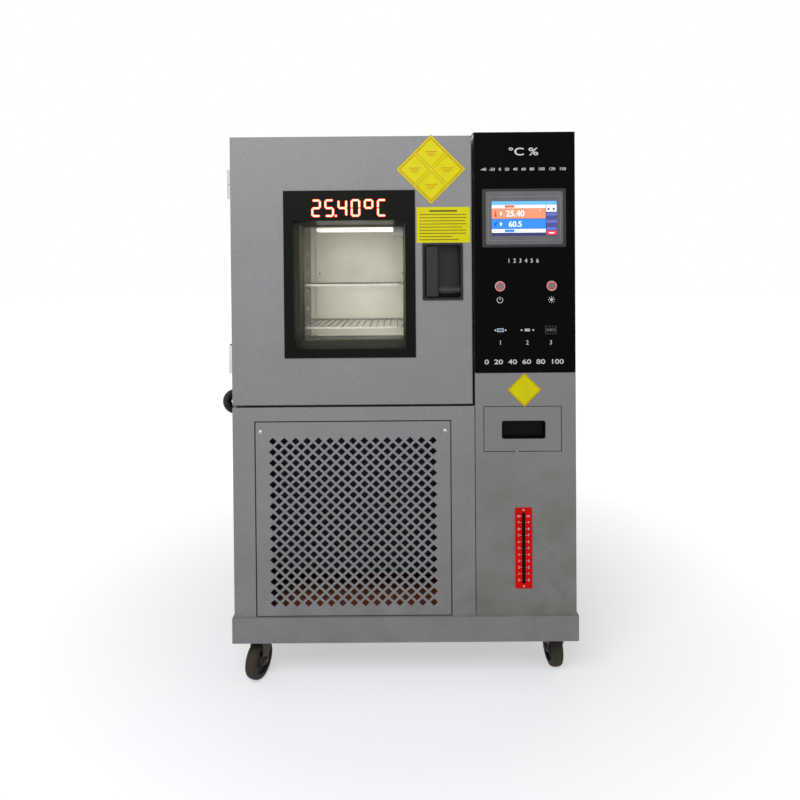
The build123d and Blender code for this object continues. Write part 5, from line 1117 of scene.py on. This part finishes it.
class CHAMBER_OT_screen(ChamberOperator, bpy.types.Operator):
    """Build the screen: bezel, inner lips and what it shows"""

    bl_idname = "chamber.screen"
    bl_label = "Screen"

    def execute(self, context):
        clothe(finish("Bezel Dark"), "screen_housing")
        clothe(finish("Dark Plastic"), "touch_screen")
        low, high, middle, size = dims("screen_housing")
        glass_low, glass_high, glass, glass_size = dims("touch_screen")
        face_centre = (middle.x, low.y, middle.z)
        view = (0.1760, 0.0935)
        view_z = glass.z - 0.0037
        shift = (glass.x - middle.x, view_z - middle.z)
        face_out = rounded_outline(0.2090, 0.1440, 0.006)
        face_in = rounded_outline(0.1860, 0.1060, 0.004)
        raised = 0.0009
        grey = finish("Bezel Grey")
        face = surround("screen_face", face_out, face_in, face_centre, raised, grey, 0.0004, shift)
        lip_out = rounded_outline(0.1970, 0.1200, 0.006)
        lip_in = rounded_outline(0.1940, 0.1170, 0.005)
        lip_centre = (glass.x, low.y - raised, view_z)
        lip = surround("screen_lip", lip_out, lip_in, lip_centre, 0.0004, finish("Bezel Lip"), 0.00015)
        shade_out = rounded_outline(0.1858, 0.1058, 0.004)
        shade_in = rounded_outline(view[0] + 0.0006, view[1] + 0.0006, 0.001)
        shade_centre = (glass.x, low.y, view_z)
        shade = surround("screen_shade", shade_out, shade_in, shade_centre, 0.0005, grey, 0.0002)
        add(joined("screen_bezel", [face, lip, shade]), "cabinet")
        corner = Vector((glass.x - view[0] / 2, low.y, view_z - view[1] / 2))
        self.picture(corner, Vector((view[0], 0, view[1])))
        return {"FINISHED"}

    def picture(self, corner, size):
        """Bands, figures and keys that the screen shows, in shares of its width and height."""
        figures = scene_settings()[1]
        tones = {
            "sky": (96, 176, 236), "white": (236, 240, 244), "warm": (240, 138, 104), "cool": (44, 128, 232),
            "navy": (30, 42, 92), "slate": (92, 98, 176), "dusk": (62, 66, 130), "red": (226, 48, 70),
            "dark_red": (176, 24, 34), "deep": (14, 60, 150), "orange": (236, 96, 60),
        }
        for tone, rgb in tones.items():
            lit("Screen " + tone.replace("_", " ").title(), linear(*rgb), 0.62)
        areas = (
            ("navy", 0.00, 0.00, 1.00, 1.00), ("sky", 0.00, 0.90, 1.00, 1.00),
            ("white", 0.00, 0.80, 0.83, 0.895), ("orange", 0.20, 0.815, 0.35, 0.885),
            ("warm", 0.00, 0.50, 0.83, 0.80), ("cool", 0.00, 0.20, 0.83, 0.49),
            ("white", 0.00, 0.09, 0.83, 0.195), ("cool", 0.20, 0.105, 0.35, 0.18),
            ("white", 0.84, 0.69, 1.00, 0.895), ("navy", 0.86, 0.74, 0.89, 0.80),
            ("navy", 0.94, 0.74, 0.97, 0.80), ("slate", 0.84, 0.57, 1.00, 0.665),
            ("dusk", 0.84, 0.47, 1.00, 0.56), ("slate", 0.84, 0.36, 1.00, 0.46),
            ("dusk", 0.84, 0.26, 1.00, 0.35), ("slate", 0.84, 0.15, 1.00, 0.25),
            ("red", 0.84, 0.02, 1.00, 0.135), ("white", 0.88, 0.06, 0.96, 0.095),
            ("dark_red", 0.05, 0.57, 0.065, 0.72), ("dark_red", 0.043, 0.555, 0.072, 0.61),
            ("deep", 0.04, 0.28, 0.06, 0.36), ("deep", 0.055, 0.34, 0.075, 0.40),
            ("white", 0.73, 0.72, 0.745, 0.75), ("white", 0.72, 0.41, 0.74, 0.44),
            ("white", 0.61, 0.38, 0.622, 0.41),
        )
        step = 0.00004
        parts = []
        for i, (tone, left, bottom, right, top) in enumerate(areas):
            centre = (
                corner.x + size.x * (left + right) / 2,
                corner.y,
                corner.z + size.z * (bottom + top) / 2,
            )
            width = size.x * (right - left)
            height = size.z * (top - bottom)
            material = finish("Screen " + tone.replace("_", " ").title())
            parts.append(rule(f"screen_area_{i}", centre, width, height, material, step * (2 + i % 23)))
        rows = (("upper", figures.upper, 0.555, 0.735), ("lower", figures.lower, 0.255, 0.425))
        white = finish("Screen White")
        proud = 0.0011
        for name, text, bottom, top in rows:
            centre = (corner.x + size.x * 0.36, corner.y - proud, corner.z + size.z * (bottom + top) / 2)
            tall = size.z * (top - bottom)
            parts.append(lettering("figure_" + name, text, centre, None, tall, 0.0001, white, 0.02))
            arrow = (corner.x + size.x * 0.14, corner.y - proud, corner.z + size.z * (bottom + top) / 2)
            head = [(0.0040, 0.0004), (0, 0.0052), (-0.0040, 0.0004), (-0.0018, 0.0004)]
            head += [(-0.0018, -0.0048), (0.0018, -0.0048), (0.0018, 0.0004)]
            parts.append(slab("arrow_" + name, head, arrow, 0.0001, white))
        add(joined("screen_picture", parts), "cabinet")


class CHAMBER_OT_panel_marks(ChamberOperator, bpy.types.Operator):
    """Print plain units, symbols and numbers on the black panel"""

    bl_idname = "chamber.panel_marks"
    bl_label = "Panel marks"

    def execute(self, context):
        depth = scene_settings()[2].print_depth
        low, high, middle, size = dims("control_panel")
        ink = finish("Ink White")
        face = low.y
        unit_at = (middle.x - 0.002, face, 1.4715)
        marks = [lettering("unit_mark", "°C %", unit_at, 0.080, 0.022, depth, ink, 0.01)]
        rows = (
            ("warm_scale", "-40  -20   0   20   40   60   80   100   120   150", 1.4235, 0.232, 0.0078),
            ("screen_scale", "1  2  3  4  5  6", 1.1745, 0.082, 0.0115),
            ("damp_scale", "0  20  40  60  80  100", 0.8985, 0.216, 0.0130),
        )
        for tag, text, z, width, tall in rows:
            marks.append(lettering(tag, text, (middle.x - 0.003, face, z), width, tall, depth, ink, 0.01))
        symbol_z = 1.0675
        marks += self.power_symbol((dims("power_button")[2].x, face, symbol_z), depth)
        marks += self.lamp_symbol((dims("light_button")[2].x, face, symbol_z), depth)
        selector = dims("selector_housing")[2]
        row = (("a", 0.2646, "1"), ("b", 0.338, "2"), ("c", 0.402, "3"))
        tall = 0.0115
        number_z = selector.z - 0.034
        for tag, offset, text in row:
            spot = (offset + MIDDLE_X, face, number_z)
            marks.append(lettering("socket_number_" + tag, text, spot, None, tall, depth, ink))
        add(joined("panel_print", marks), "cabinet")
        return {"FINISHED"}

    def power_symbol(self, centre, depth):
        """Broken ring with an upright bar."""
        radius = 0.0085
        stroke = 0.0016
        ring = []
        for side in (radius, radius - stroke):
            points = []
            for step in range(25):
                turn = math.radians(125 + 290 * step / 24)
                points.append((side * math.cos(turn), side * math.sin(turn)))
            ring.append(points)
        outline = ring[0] + ring[1][::-1]
        bar_centre = (centre[0], centre[1], centre[2] + radius * 0.55)
        return [
            slab("power_ring", outline, centre, depth, finish("Ink White")),
            rule("power_bar", bar_centre, stroke, radius * 1.1, finish("Ink White"), depth),
        ]

    def lamp_symbol(self, centre, depth):
        """Small disc with eight rays."""
        made = []
        radius = 0.0038
        turns = [math.radians(a) for a in range(0, 360, 15)]
        disc = [(radius * math.cos(t), radius * math.sin(t)) for t in turns]
        made.append(slab("lamp_disc", disc, centre, depth, finish("Ink White")))
        for ray in range(8):
            turn = math.radians(45 * ray)
            along = Vector((math.cos(turn), math.sin(turn)))
            aside = Vector((-along.y, along.x)) * 0.0007
            near = along * 0.0056
            far = along * 0.0092
            outline = [tuple(near - aside), tuple(far - aside), tuple(far + aside), tuple(near + aside)]
            made.append(slab(f"lamp_ray_{ray}", outline, centre, depth, finish("Ink White")))
        return made


class CHAMBER_OT_buttons(ChamberOperator, bpy.types.Operator):
    """Finish the two push buttons with their lit rings"""

    bl_idname = "chamber.buttons"
    bl_label = "Buttons"

    def execute(self, context):
        clothe(finish("Socket Metal"), "button_collars")
        for node, body in (("power_button", "power_key"), ("light_button", "light_key")):
            low, high, middle, size = dims(node)
            radius = size.x / 2 - 0.00005
            deep = size.y
            profile = [(0, 0), (0.0006, radius * 0.45), (0.0002, radius * 0.62), (0.0, radius * 0.7)]
            profile += [(0.0006, radius * 0.92), (0.0018, radius), (deep - 0.001, radius), (deep, 0)]
            cap = lathe(node + "_cap", profile, (middle.x, low.y, middle.z), (0, 1, 0), finish("Button Grey"))
            add(cap, body)
            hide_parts(node)
            front = dims("button_collars")[0].y
            ring = [(0.0, 0.0124), (-0.0007, 0.0122), (-0.0009, 0.0116), (-0.0009, 0.0105), (0.0, 0.0100)]
            rim = lathe(node + "_ring", ring, (middle.x, front, middle.z), (0, 1, 0), finish("Ring Glow"))
            add(rim, "cabinet")
        return {"FINISHED"}


class CHAMBER_OT_sockets(ChamberOperator, bpy.types.Operator):
    """Finish the sockets and the digit selector"""

    bl_idname = "chamber.sockets"
    bl_label = "Sockets"

    def execute(self, context):
        clothe(finish("Socket Metal"), "data_ports")
        clothe(finish("Dark Plastic"), "selector_housing")
        clothe(finish("Dark Plastic"), "hundreds_wheel", "tens_wheel", "units_wheel")
        low, high, middle, size = dims("data_ports")
        serial_x = 0.2646 + MIDDLE_X
        face = low.y
        insert = [(0.0078, 0.0034), (-0.0078, 0.0034), (-0.0068, -0.0034), (0.0068, -0.0034)]
        place = (serial_x, face, middle.z)
        parts = [slab("serial_insert", insert, place, 0.0003, finish("Serial Blue"))]
        pin_pitch = 0.00276
        pin = [(0, 0), (0, 0.0005), (0.0002, 0.0005), (0.0002, 0)]
        for row, count in ((0.0014, 5), (-0.0014, 4)):
            for i in range(count):
                spot = (serial_x + (i - (count - 1) / 2) * pin_pitch, face - 0.0003, middle.z + row)
                parts.append(lathe("serial_pin", pin, spot, (0, -1, 0), finish("Screw Slot"), 12))
        add(joined("serial_face", parts), "cabinet")
        for node, body, text in (
            ("hundreds_wheel", "hundreds", "0"), ("tens_wheel", "tens", "8"), ("units_wheel", "units", "5"),
        ):
            wheel_low, wheel_high, wheel, wheel_size = dims(node)
            half_face = math.radians(18)
            flat_y = wheel_low.y + (wheel_size.y / 2) * (1 - math.cos(half_face))
            spot = (wheel.x, flat_y - 0.00005, wheel.z)
            digit = lettering("digit_" + body, text, spot, None, 0.0046, 0.00008, finish("Ink White"))
            add(digit, body)
        return {"FINISHED"}


class CHAMBER_OT_stickers(ChamberOperator, bpy.types.Operator):
    """Lay plain yellow stickers with ruled lines on the door and the column"""

    bl_idname = "chamber.stickers"
    bl_label = "Stickers"

    def execute(self, context):
        thick = scene_settings()[2].sticker
        door_y = dims("door_shell")[0].y
        column_y = dims("column_front")[0].y
        large_reach = 0.095
        small_reach = 0.0476
        self.diamond("door_diamond", (0.107, door_y, 1.4245), large_reach, thick, "door")
        self.card((0.1397, door_y, 1.2735), thick)
        self.diamond("column_diamond", (0.358, column_y, 0.8215), small_reach, thick, "cabinet")
        return {"FINISHED"}

    def diamond(self, name, centre, reach, thick, body):
        """Yellow square on its corner with a thin inner rule."""
        parts = [slab(name, diamond_of(reach), centre, thick, finish("Label Edge"))]
        face = diamond_of(reach - 0.0012)
        parts.append(slab(name + "_face", face, centre, thick + 0.00005, finish("Label Yellow")))
        front = (centre[0], centre[1] - thick, centre[2])
        inner = reach * 0.93
        border = surround(name + "_rule", diamond_of(inner), diamond_of(inner - 0.0022), front, 0.00006,
                          finish("Label Rule"))
        parts.append(border)
        if reach > 0.06:
            cell = (diamond_of(reach * 0.42), diamond_of(reach * 0.42 - 0.0016))
            for i, (x, z) in enumerate(((1, 0), (-1, 0), (0, 1), (0, -1))):
                spot = (front[0] + x * reach * 0.465, front[1], front[2] + z * reach * 0.465)
                parts.append(surround(f"{name}_cell_{i}", *cell, spot, 0.00006, finish("Label Rule")))
                for k in range(3):
                    bar = (spot[0], spot[1], spot[2] - reach * (0.02 + 0.055 * k) + reach * 0.06)
                    parts.append(rule(f"{name}_bar_{i}_{k}", bar, reach * (0.34 - 0.09 * k), 0.0016,
                                      finish("Label Rule"), 0.00008))
        return add(joined(name, parts), body)

    def card(self, centre, thick):
        """Yellow card with a heading rule and plain lines."""
        width = 0.145
        height = 0.097
        parts = [slab("door_card", outline_of(width, height), centre, thick, finish("Label Yellow"))]
        front = centre[1] - thick
        parts.append(rule("card_head", (centre[0], front, centre[2] + height * 0.39), width * 0.52, 0.0048,
                          finish("Label Grey"), 0.00006))
        for i in range(9):
            z = centre[2] + height * (0.29 - 0.088 * i)
            share = (0.88, 0.88, 0.86, 0.88, 0.80, 0.88, 0.88, 0.62, 0.74)[i]
            x = centre[0] - width * (0.90 - share) / 2
            line = (f"card_line_{i}", (x, front, z), width * share, 0.0021)
            parts.append(rule(*line, finish("Label Grey"), 0.00006))
        return add(joined("door_card", parts), "door")


class CHAMBER_OT_drawer(ChamberOperator, bpy.types.Operator):
    """Line the drawer's finger recess"""

    bl_idname = "chamber.drawer"
    bl_label = "Drawer"

    def execute(self, context):
        low, high, middle, size = dims("water_drawer")
        width = 0.1164
        height = 0.0464
        deep = 0.0145
        centre = (middle.x + 0.0025, low.y + deep, middle.z - 0.002)
        black = finish("Pull Black")
        outer = rounded_outline(width, height, 0.0048)
        inner = rounded_outline(width - 0.002, height - 0.002, 0.004)
        floor = slab("pull_floor", outer, centre, 0.0004, black)
        wall = surround("pull_wall", outer, inner, centre, deep + 0.0003, black, 0.0003)
        lip_outer = rounded_outline(width + 0.003, height + 0.003, 0.006)
        lip_inner = rounded_outline(width - 0.001, height - 0.001, 0.0045)
        lip_at = (centre[0], low.y, centre[2])
        lip = surround("pull_lip", lip_outer, lip_inner, lip_at, 0.0006, black, 0.0002)
        add(joined("drawer_pull_liner", [floor, wall, lip]), "drawer")
        return {"FINISHED"}


class CHAMBER_OT_gauge(ChamberOperator, bpy.types.Operator):
    """Number the level gauge and darken its slot"""

    bl_idname = "chamber.gauge"
    bl_label = "Gauge"

    def execute(self, context):
        figures = scene_settings()[1]
        clothe(finish("Gauge Red"), "gauge_plate")
        low, high, middle, size = dims("gauge_plate")
        ink = finish("Ink White")
        marks = []
        top = figures.scale_top
        reach = 0.088
        for i in range(top + 1):
            z = middle.z - reach + 2 * reach * i / top
            for tag, x in (("l", -0.0135), ("r", 0.0135)):
                spot = (middle.x + x, low.y, z)
                marks.append(lettering(f"level_{tag}_{i}", str(i), spot, None, 0.0062, 0.0001, ink, 0.01))
                tick = (middle.x + x * 0.56, low.y, z)
                marks.append(rule(f"tick_{tag}_{i}", tick, 0.0030, 0.0010, ink, 0.0001))
        add(joined("gauge_figures", marks), "cabinet")
        slot_w = 0.0092
        slot_h = 0.1955
        slot = rounded_outline(slot_w, slot_h, slot_w / 2 - 0.0001, 8)
        slot_at = (middle.x, high.y - 0.0002, middle.z)
        shade = slab("gauge_shade", slot, slot_at, 0.0006, finish("Pull Black"), 0.0002)
        add(shade, "cabinet")
        for i, z in enumerate((high.z - 0.006, low.z + 0.006)):
            screws(f"gauge_screw_{i}", [(middle.x, low.y, z)], (0, -1, 0), 0.0022, "cabinet")
        return {"FINISHED"}


class CHAMBER_OT_machine_bay(ChamberOperator, bpy.types.Operator):
    """Fill the bay behind the grille: fin pack and brown tray board"""

    bl_idname = "chamber.machine_bay"
    bl_label = "Machine bay"

    def execute(self, context):
        low, high, middle, size = dims("condenser")
        pitch = scene_settings()[2].fin_pitch
        face_height = 0.400
        foot = high.z - face_height
        depth = 0.004
        bm = bmesh.new()
        count = int((size.x - 0.008) / pitch)
        for i in range(count):
            x = low.x + 0.004 + pitch * (i + 0.5)
            corners = []
            for y, z in ((low.y, foot + 0.002), (low.y, high.z - 0.002), (low.y + depth, high.z - 0.002),
                         (low.y + depth, foot + 0.002)):
                lean = 0.0011 if y == low.y else 0.0
                corners.append(bm.verts.new((x + lean, y, z)))
            bm.faces.new(corners)
        backing = [bm.verts.new((x, low.y + depth, z)) for x, z in (
            (low.x + 0.003, foot + 0.002), (high.x - 0.003, foot + 0.002), (high.x - 0.003, high.z - 0.002),
            (low.x + 0.003, high.z - 0.002))]
        bm.faces.new(backing)
        add(object_from("fin_pack", bm, finish("Fin Blue"), smooth=False), "cabinet")
        deck_z = dims("left_side_panel")[0].z
        margin = 0.035
        board_low = (low.x - margin, low.y - 0.030, deck_z + 0.0002)
        board_high = (high.x + margin, high.y + 0.25, deck_z + 0.004)
        board = block("tray_board", board_low, board_high, finish("Tray Board"), 0.001)
        add(board, "cabinet")
        return {"FINISHED"}


class CHAMBER_OT_conduit(ChamberOperator, bpy.types.Operator):
    """Rib the wiring conduit that loops out of the left side"""

    bl_idname = "chamber.conduit"
    bl_label = "Conduit"

    def execute(self, context):
        pitch = scene_settings()[2].rib_pitch
        low, high, middle, size = dims("wiring_conduit")
        radius = size.y / 2
        bend = (size.z - size.y) / 2
        turn_x = low.x + radius + bend
        straight = high.x - turn_x
        total = 2 * straight + math.pi * bend
        count = int(total / (pitch / 6))
        points = []
        radii = []
        for i in range(count + 1):
            along = total * i / count
            if along < straight:
                point = Vector((high.x - along, middle.y, middle.z + bend))
            elif along < straight + math.pi * bend:
                turn = math.pi / 2 + (along - straight) / bend
                point = Vector((turn_x + bend * math.cos(turn), middle.y, middle.z + bend * math.sin(turn)))
            else:
                run = along - straight - math.pi * bend
                point = Vector((turn_x + run, middle.y, middle.z - bend))
            points.append(point)
            rib = 0.5 + 0.5 * math.cos(2 * math.pi * along / pitch)
            radii.append(radius - 0.0002 - 0.0018 * (1 - rib ** 0.6))
        piece = hose("ribbed_conduit", points, radii, finish("Conduit Rubber"))
        add(piece, "cabinet")
        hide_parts("wiring_conduit")
        skin_x = dims("left_side_panel")[0].x
        black = finish("Dark Plastic")
        profile = [(0, radius + 0.006), (0.003, radius + 0.006)]
        profile += [(0.006, radius + 0.003), (0.006, radius + 0.0003)]
        for i, z in enumerate((middle.z + bend, middle.z - bend)):
            bush = lathe(f"conduit_bush_{i}", profile, (skin_x, middle.y, z), (-1, 0, 0), black, 32)
            add(bush, "cabinet")
        return {"FINISHED"}


class CHAMBER_OT_hinges(ChamberOperator, bpy.types.Operator):
    """Polish the hinges and cap their pins"""

    bl_idname = "chamber.hinges"
    bl_label = "Hinges"

    def execute(self, context):
        clothe(finish("Hinge Chrome"), "cabinet_hinge_arms", "door_hinge_arms")
        low, high, middle, size = dims("door_hinge_arms")
        pin_x = low.x + 0.011
        sheet = 0.0015
        gap = 0.003
        hinge_spacing = 0.5006
        pin_y = dims("door_shell")[1].y + sheet + gap
        for i, z in enumerate((high.z, high.z - hinge_spacing)):
            profile = [(0, 0.0075), (0.0014, 0.0072), (0.0024, 0.0050), (0.0028, 0.0)]
            cap = lathe(f"pin_cap_{i}", profile, (pin_x, pin_y, z), (0, 0, 1), finish("Bezel Dark"), 28)
            add(cap, "door")
        return {"FINISHED"}


class CHAMBER_OT_casters(ChamberOperator, bpy.types.Operator):
    """Build the caster wheels with worn treads and finish their forks"""

    bl_idname = "chamber.casters"
    bl_label = "Casters"

    def execute(self, context):
        for joint in frame["joints"]:
            if joint["name"].endswith("_roll"):
                self.wheel(joint)
        for corner in ("front_left", "front_right", "rear_left", "rear_right"):
            clothe(finish("Fork Steel"), corner + "_fork")
        return {"FINISHED"}

    def wheel(self, joint):
        """Crowned tread on a dished hub with a bearing cap on each side."""
        name = joint["name"][: -len("_roll")]
        centre = Vector(joint["pos_m"])
        axis = Vector(joint["axis"])
        radius = centre.z
        half = 0.016
        tread = [(-half, radius - 0.016), (-half, radius - 0.0075), (-half * 0.86, radius - 0.0030)]
        tread += [(-half * 0.5, radius - 0.0007), (0, radius)]
        tread += [(half * 0.5, radius - 0.0007), (half * 0.86, radius - 0.0030), (half, radius - 0.0075)]
        tread += [(half, radius - 0.016)]
        tyre = lathe(name + "_tyre", tread, centre, axis, finish("Tread Rubber"), 56)
        hub = [(-half, radius - 0.0158), (-half * 0.55, radius - 0.019), (-half * 0.5, 0.021), (-half, 0.016)]
        hub += [(-half, 0.0052), (half, 0.0052), (half, 0.016), (half * 0.5, 0.021)]
        hub += [(half * 0.55, radius - 0.019), (half, radius - 0.0158)]
        core = lathe(name + "_hub", hub, centre, axis, finish("Hub Plastic"), 56)
        parts = [tyre, core]
        for side in (-1, 1):
            cap = [(0, 0.0145), (0.0008, 0.0140), (0.0012, 0.0110), (0.0008, 0.0056)]
            spot = centre + axis * side * half
            parts.append(lathe(f"{name}_bearing_{side}", cap, spot, axis * side, finish("Fork Steel"), 32))
        piece = add(joined(name + "_tyre", parts), name + "_roller")
        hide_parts(name + "_wheel")


def seen_rays(nodes, links):
    """One for rays from the camera, a gloss or a glass, and zero for the rest."""
    path = nodes.new("ShaderNodeLightPath")
    seen = math_node(nodes, links, "MAXIMUM", path.outputs["Is Camera Ray"], path.outputs["Is Glossy Ray"])
    return math_node(nodes, links, "MAXIMUM", seen, path.outputs["Is Transmission Ray"])


class CHAMBER_OT_stage(ChamberOperator, bpy.types.Operator):
    """Set the pale floor, the soft lamps, the surround and the camera"""

    bl_idname = "chamber.stage"
    bl_label = "Stage"

    def execute(self, context):
        settings = scene_settings()[3]
        self.floor()
        self.world(settings.sky)
        self.lamp("Key", (-0.7, -2.5, 2.5), (2.0, 1.2), settings.key, (-0.1, -0.4, 1.3))
        self.lamp("Fill", (2.6, -2.2, 2.2), (1.6, 1.6), settings.fill, (0.2, -0.2, 1.2))
        pane_low, pane_high, pane, pane_size = dims("window_panes")
        inside = (pane.x, pane_high.y + 0.006, pane.z - 0.02)
        ahead = (pane.x, pane_high.y + 0.5, pane.z - 0.08)
        self.lamp("Chamber", inside, (pane_size.x * 0.9, pane_size.z * 0.9), settings.glow, ahead)
        self.camera(settings)
        context.scene.view_settings.view_transform = "Standard"
        return {"FINISHED"}

    def floor(self):
        """Wide pale floor that is white to the camera far off and keeps the shadow; its glow is weaker near
        the cabinet, a painted shadow around it.
        """
        reach = 30
        bm = bmesh.new()
        bm.faces.new([bm.verts.new((x, y, 0)) for x, y in outline_of(2 * reach, 2 * reach)])
        material = bpy.data.materials.new("Pale Floor")
        material.use_nodes = True
        nodes = material.node_tree.nodes
        links = material.node_tree.links
        nodes.clear()
        diffuse = nodes.new("ShaderNodeBsdfDiffuse")
        diffuse.inputs["Color"].default_value = (0.67, 0.69, 0.76, 1)
        glow = nodes.new("ShaderNodeEmission")
        seen = seen_rays(nodes, links)
        # Painted shadow: the floor's glow is weaker near the cabinet, which darkens the floor around it.
        away = nodes.new("ShaderNodeVectorMath")
        away.operation = "DISTANCE"
        links.new(nodes.new("ShaderNodeTexCoord").outputs["Object"], away.inputs[0])
        away.inputs[1].default_value = (0, -0.2, 0)
        level = ranged(nodes, links, away.outputs["Value"], 0.55, 1.9, 0.5, 0.86)
        links.new(math_node(nodes, links, "MULTIPLY", seen, level), glow.inputs["Strength"])
        both = nodes.new("ShaderNodeAddShader")
        links.new(diffuse.outputs["BSDF"], both.inputs[0])
        links.new(glow.outputs["Emission"], both.inputs[1])
        out = nodes.new("ShaderNodeOutputMaterial")
        links.new(both.outputs["Shader"], out.inputs["Surface"])
        object_from("stage_floor", bm, material, smooth=False)

    def world(self, strength):
        """Even surround light, white where the camera or a gloss looks at it."""
        world = bpy.data.worlds.new("Surround")
        bpy.context.scene.world = world
        world.use_nodes = True
        nodes = world.node_tree.nodes
        links = world.node_tree.links
        seen = seen_rays(nodes, links)
        level = nodes.new("ShaderNodeMapRange")
        level.inputs["To Min"].default_value = strength
        level.inputs["To Max"].default_value = 1.0
        links.new(seen, level.inputs["Value"])
        links.new(level.outputs["Result"], nodes["Background"].inputs["Strength"])
        tone = mixed(nodes, links, seen, (1.0, 0.975, 0.87), (1, 1, 1))
        links.new(tone, nodes["Background"].inputs["Color"])

    def lamp(self, name, place, size, power, target):
        """Large soft area lamp aimed at a point."""
        light = bpy.data.lights.new(name, type="AREA")
        light.shape = "RECTANGLE"
        light.size = size[0]
        light.size_y = size[1]
        light.energy = power
        holder = bpy.data.objects.new(name, light)
        holder.location = place
        aim = Vector(target) - Vector(place)
        holder.rotation_euler = aim.to_track_quat("-Z", "Y").to_euler()
        bpy.context.scene.collection.objects.link(holder)

    def camera(self, settings):
        """Camera in front of the cabinet with a lens shift, tilted and leaning very slightly."""
        lens = bpy.data.cameras.new("View")
        lens.lens = settings.lens
        lens.sensor_width = 36
        lens.shift_x = settings.shift_x
        lens.shift_y = settings.shift_y
        holder = bpy.data.objects.new("View", lens)
        front = dims("column_front")[0].y
        cabinet_x = (dims("left_side_panel")[0].x + dims("right_side_panel")[1].x) / 2
        holder.location = (cabinet_x + settings.offset, front - settings.distance, settings.height)
        level = Matrix.Rotation(math.radians(90) + settings.pitch, 4, "X")
        holder.rotation_euler = (Matrix.Rotation(settings.roll, 4, "Y") @ level).to_euler()
        bpy.context.scene.collection.objects.link(holder)
        bpy.context.scene.camera = holder


class CHAMBER_PT_panel(bpy.types.Panel):
    """Lists the chamber's operators and settings"""

    bl_label = "Test Chamber"
    bl_idname = "CHAMBER_PT_panel"
    bl_space_type = "VIEW_3D"
    bl_region_type = "UI"
    bl_category = "Chamber"

    def draw(self, context):
        for group in scene_settings():
            box = self.layout.box()
            for setting in group.bl_rna.properties:
                if not setting.is_readonly and setting.identifier != "name":
                    box.prop(group, setting.identifier)
        for operator in OPERATORS:
            self.layout.operator(operator.bl_idname)


OPERATORS = (
    CHAMBER_OT_materials,
    CHAMBER_OT_cabinet,
    CHAMBER_OT_fasteners,
    CHAMBER_OT_window,
    CHAMBER_OT_readout,
    CHAMBER_OT_handle,
    CHAMBER_OT_screen,
    CHAMBER_OT_panel_marks,
    CHAMBER_OT_buttons,
    CHAMBER_OT_sockets,
    CHAMBER_OT_stickers,
    CHAMBER_OT_drawer,
    CHAMBER_OT_gauge,
    CHAMBER_OT_machine_bay,
    CHAMBER_OT_conduit,
    CHAMBER_OT_hinges,
    CHAMBER_OT_casters,
    CHAMBER_OT_stage,
)
SETTINGS = (
    ("chamber_colours", ChamberColours),
    ("chamber_figures", ChamberFigures),
    ("chamber_sizes", ChamberSizes),
    ("chamber_stage", ChamberStage),
)


def register():
    """Register the settings, operators and panel."""
    for name, group in SETTINGS:
        bpy.utils.register_class(group)
        setattr(bpy.types.Scene, name, bpy.props.PointerProperty(type=group))
    for operator in OPERATORS:
        bpy.utils.register_class(operator)
    bpy.utils.register_class(CHAMBER_PT_panel)


def unregister():
    """Take everything out again."""
    bpy.utils.unregister_class(CHAMBER_PT_panel)
    for operator in reversed(OPERATORS):
        bpy.utils.unregister_class(operator)
    for name, group in reversed(SETTINGS):
        delattr(bpy.types.Scene, name)
        bpy.utils.unregister_class(group)


def main():
    """Build everything in order."""
    register()
    for operator in OPERATORS:
        area, action = operator.bl_idname.split(".")
        getattr(getattr(bpy.ops, area), action)()


if __name__ == "__main__":
    main()
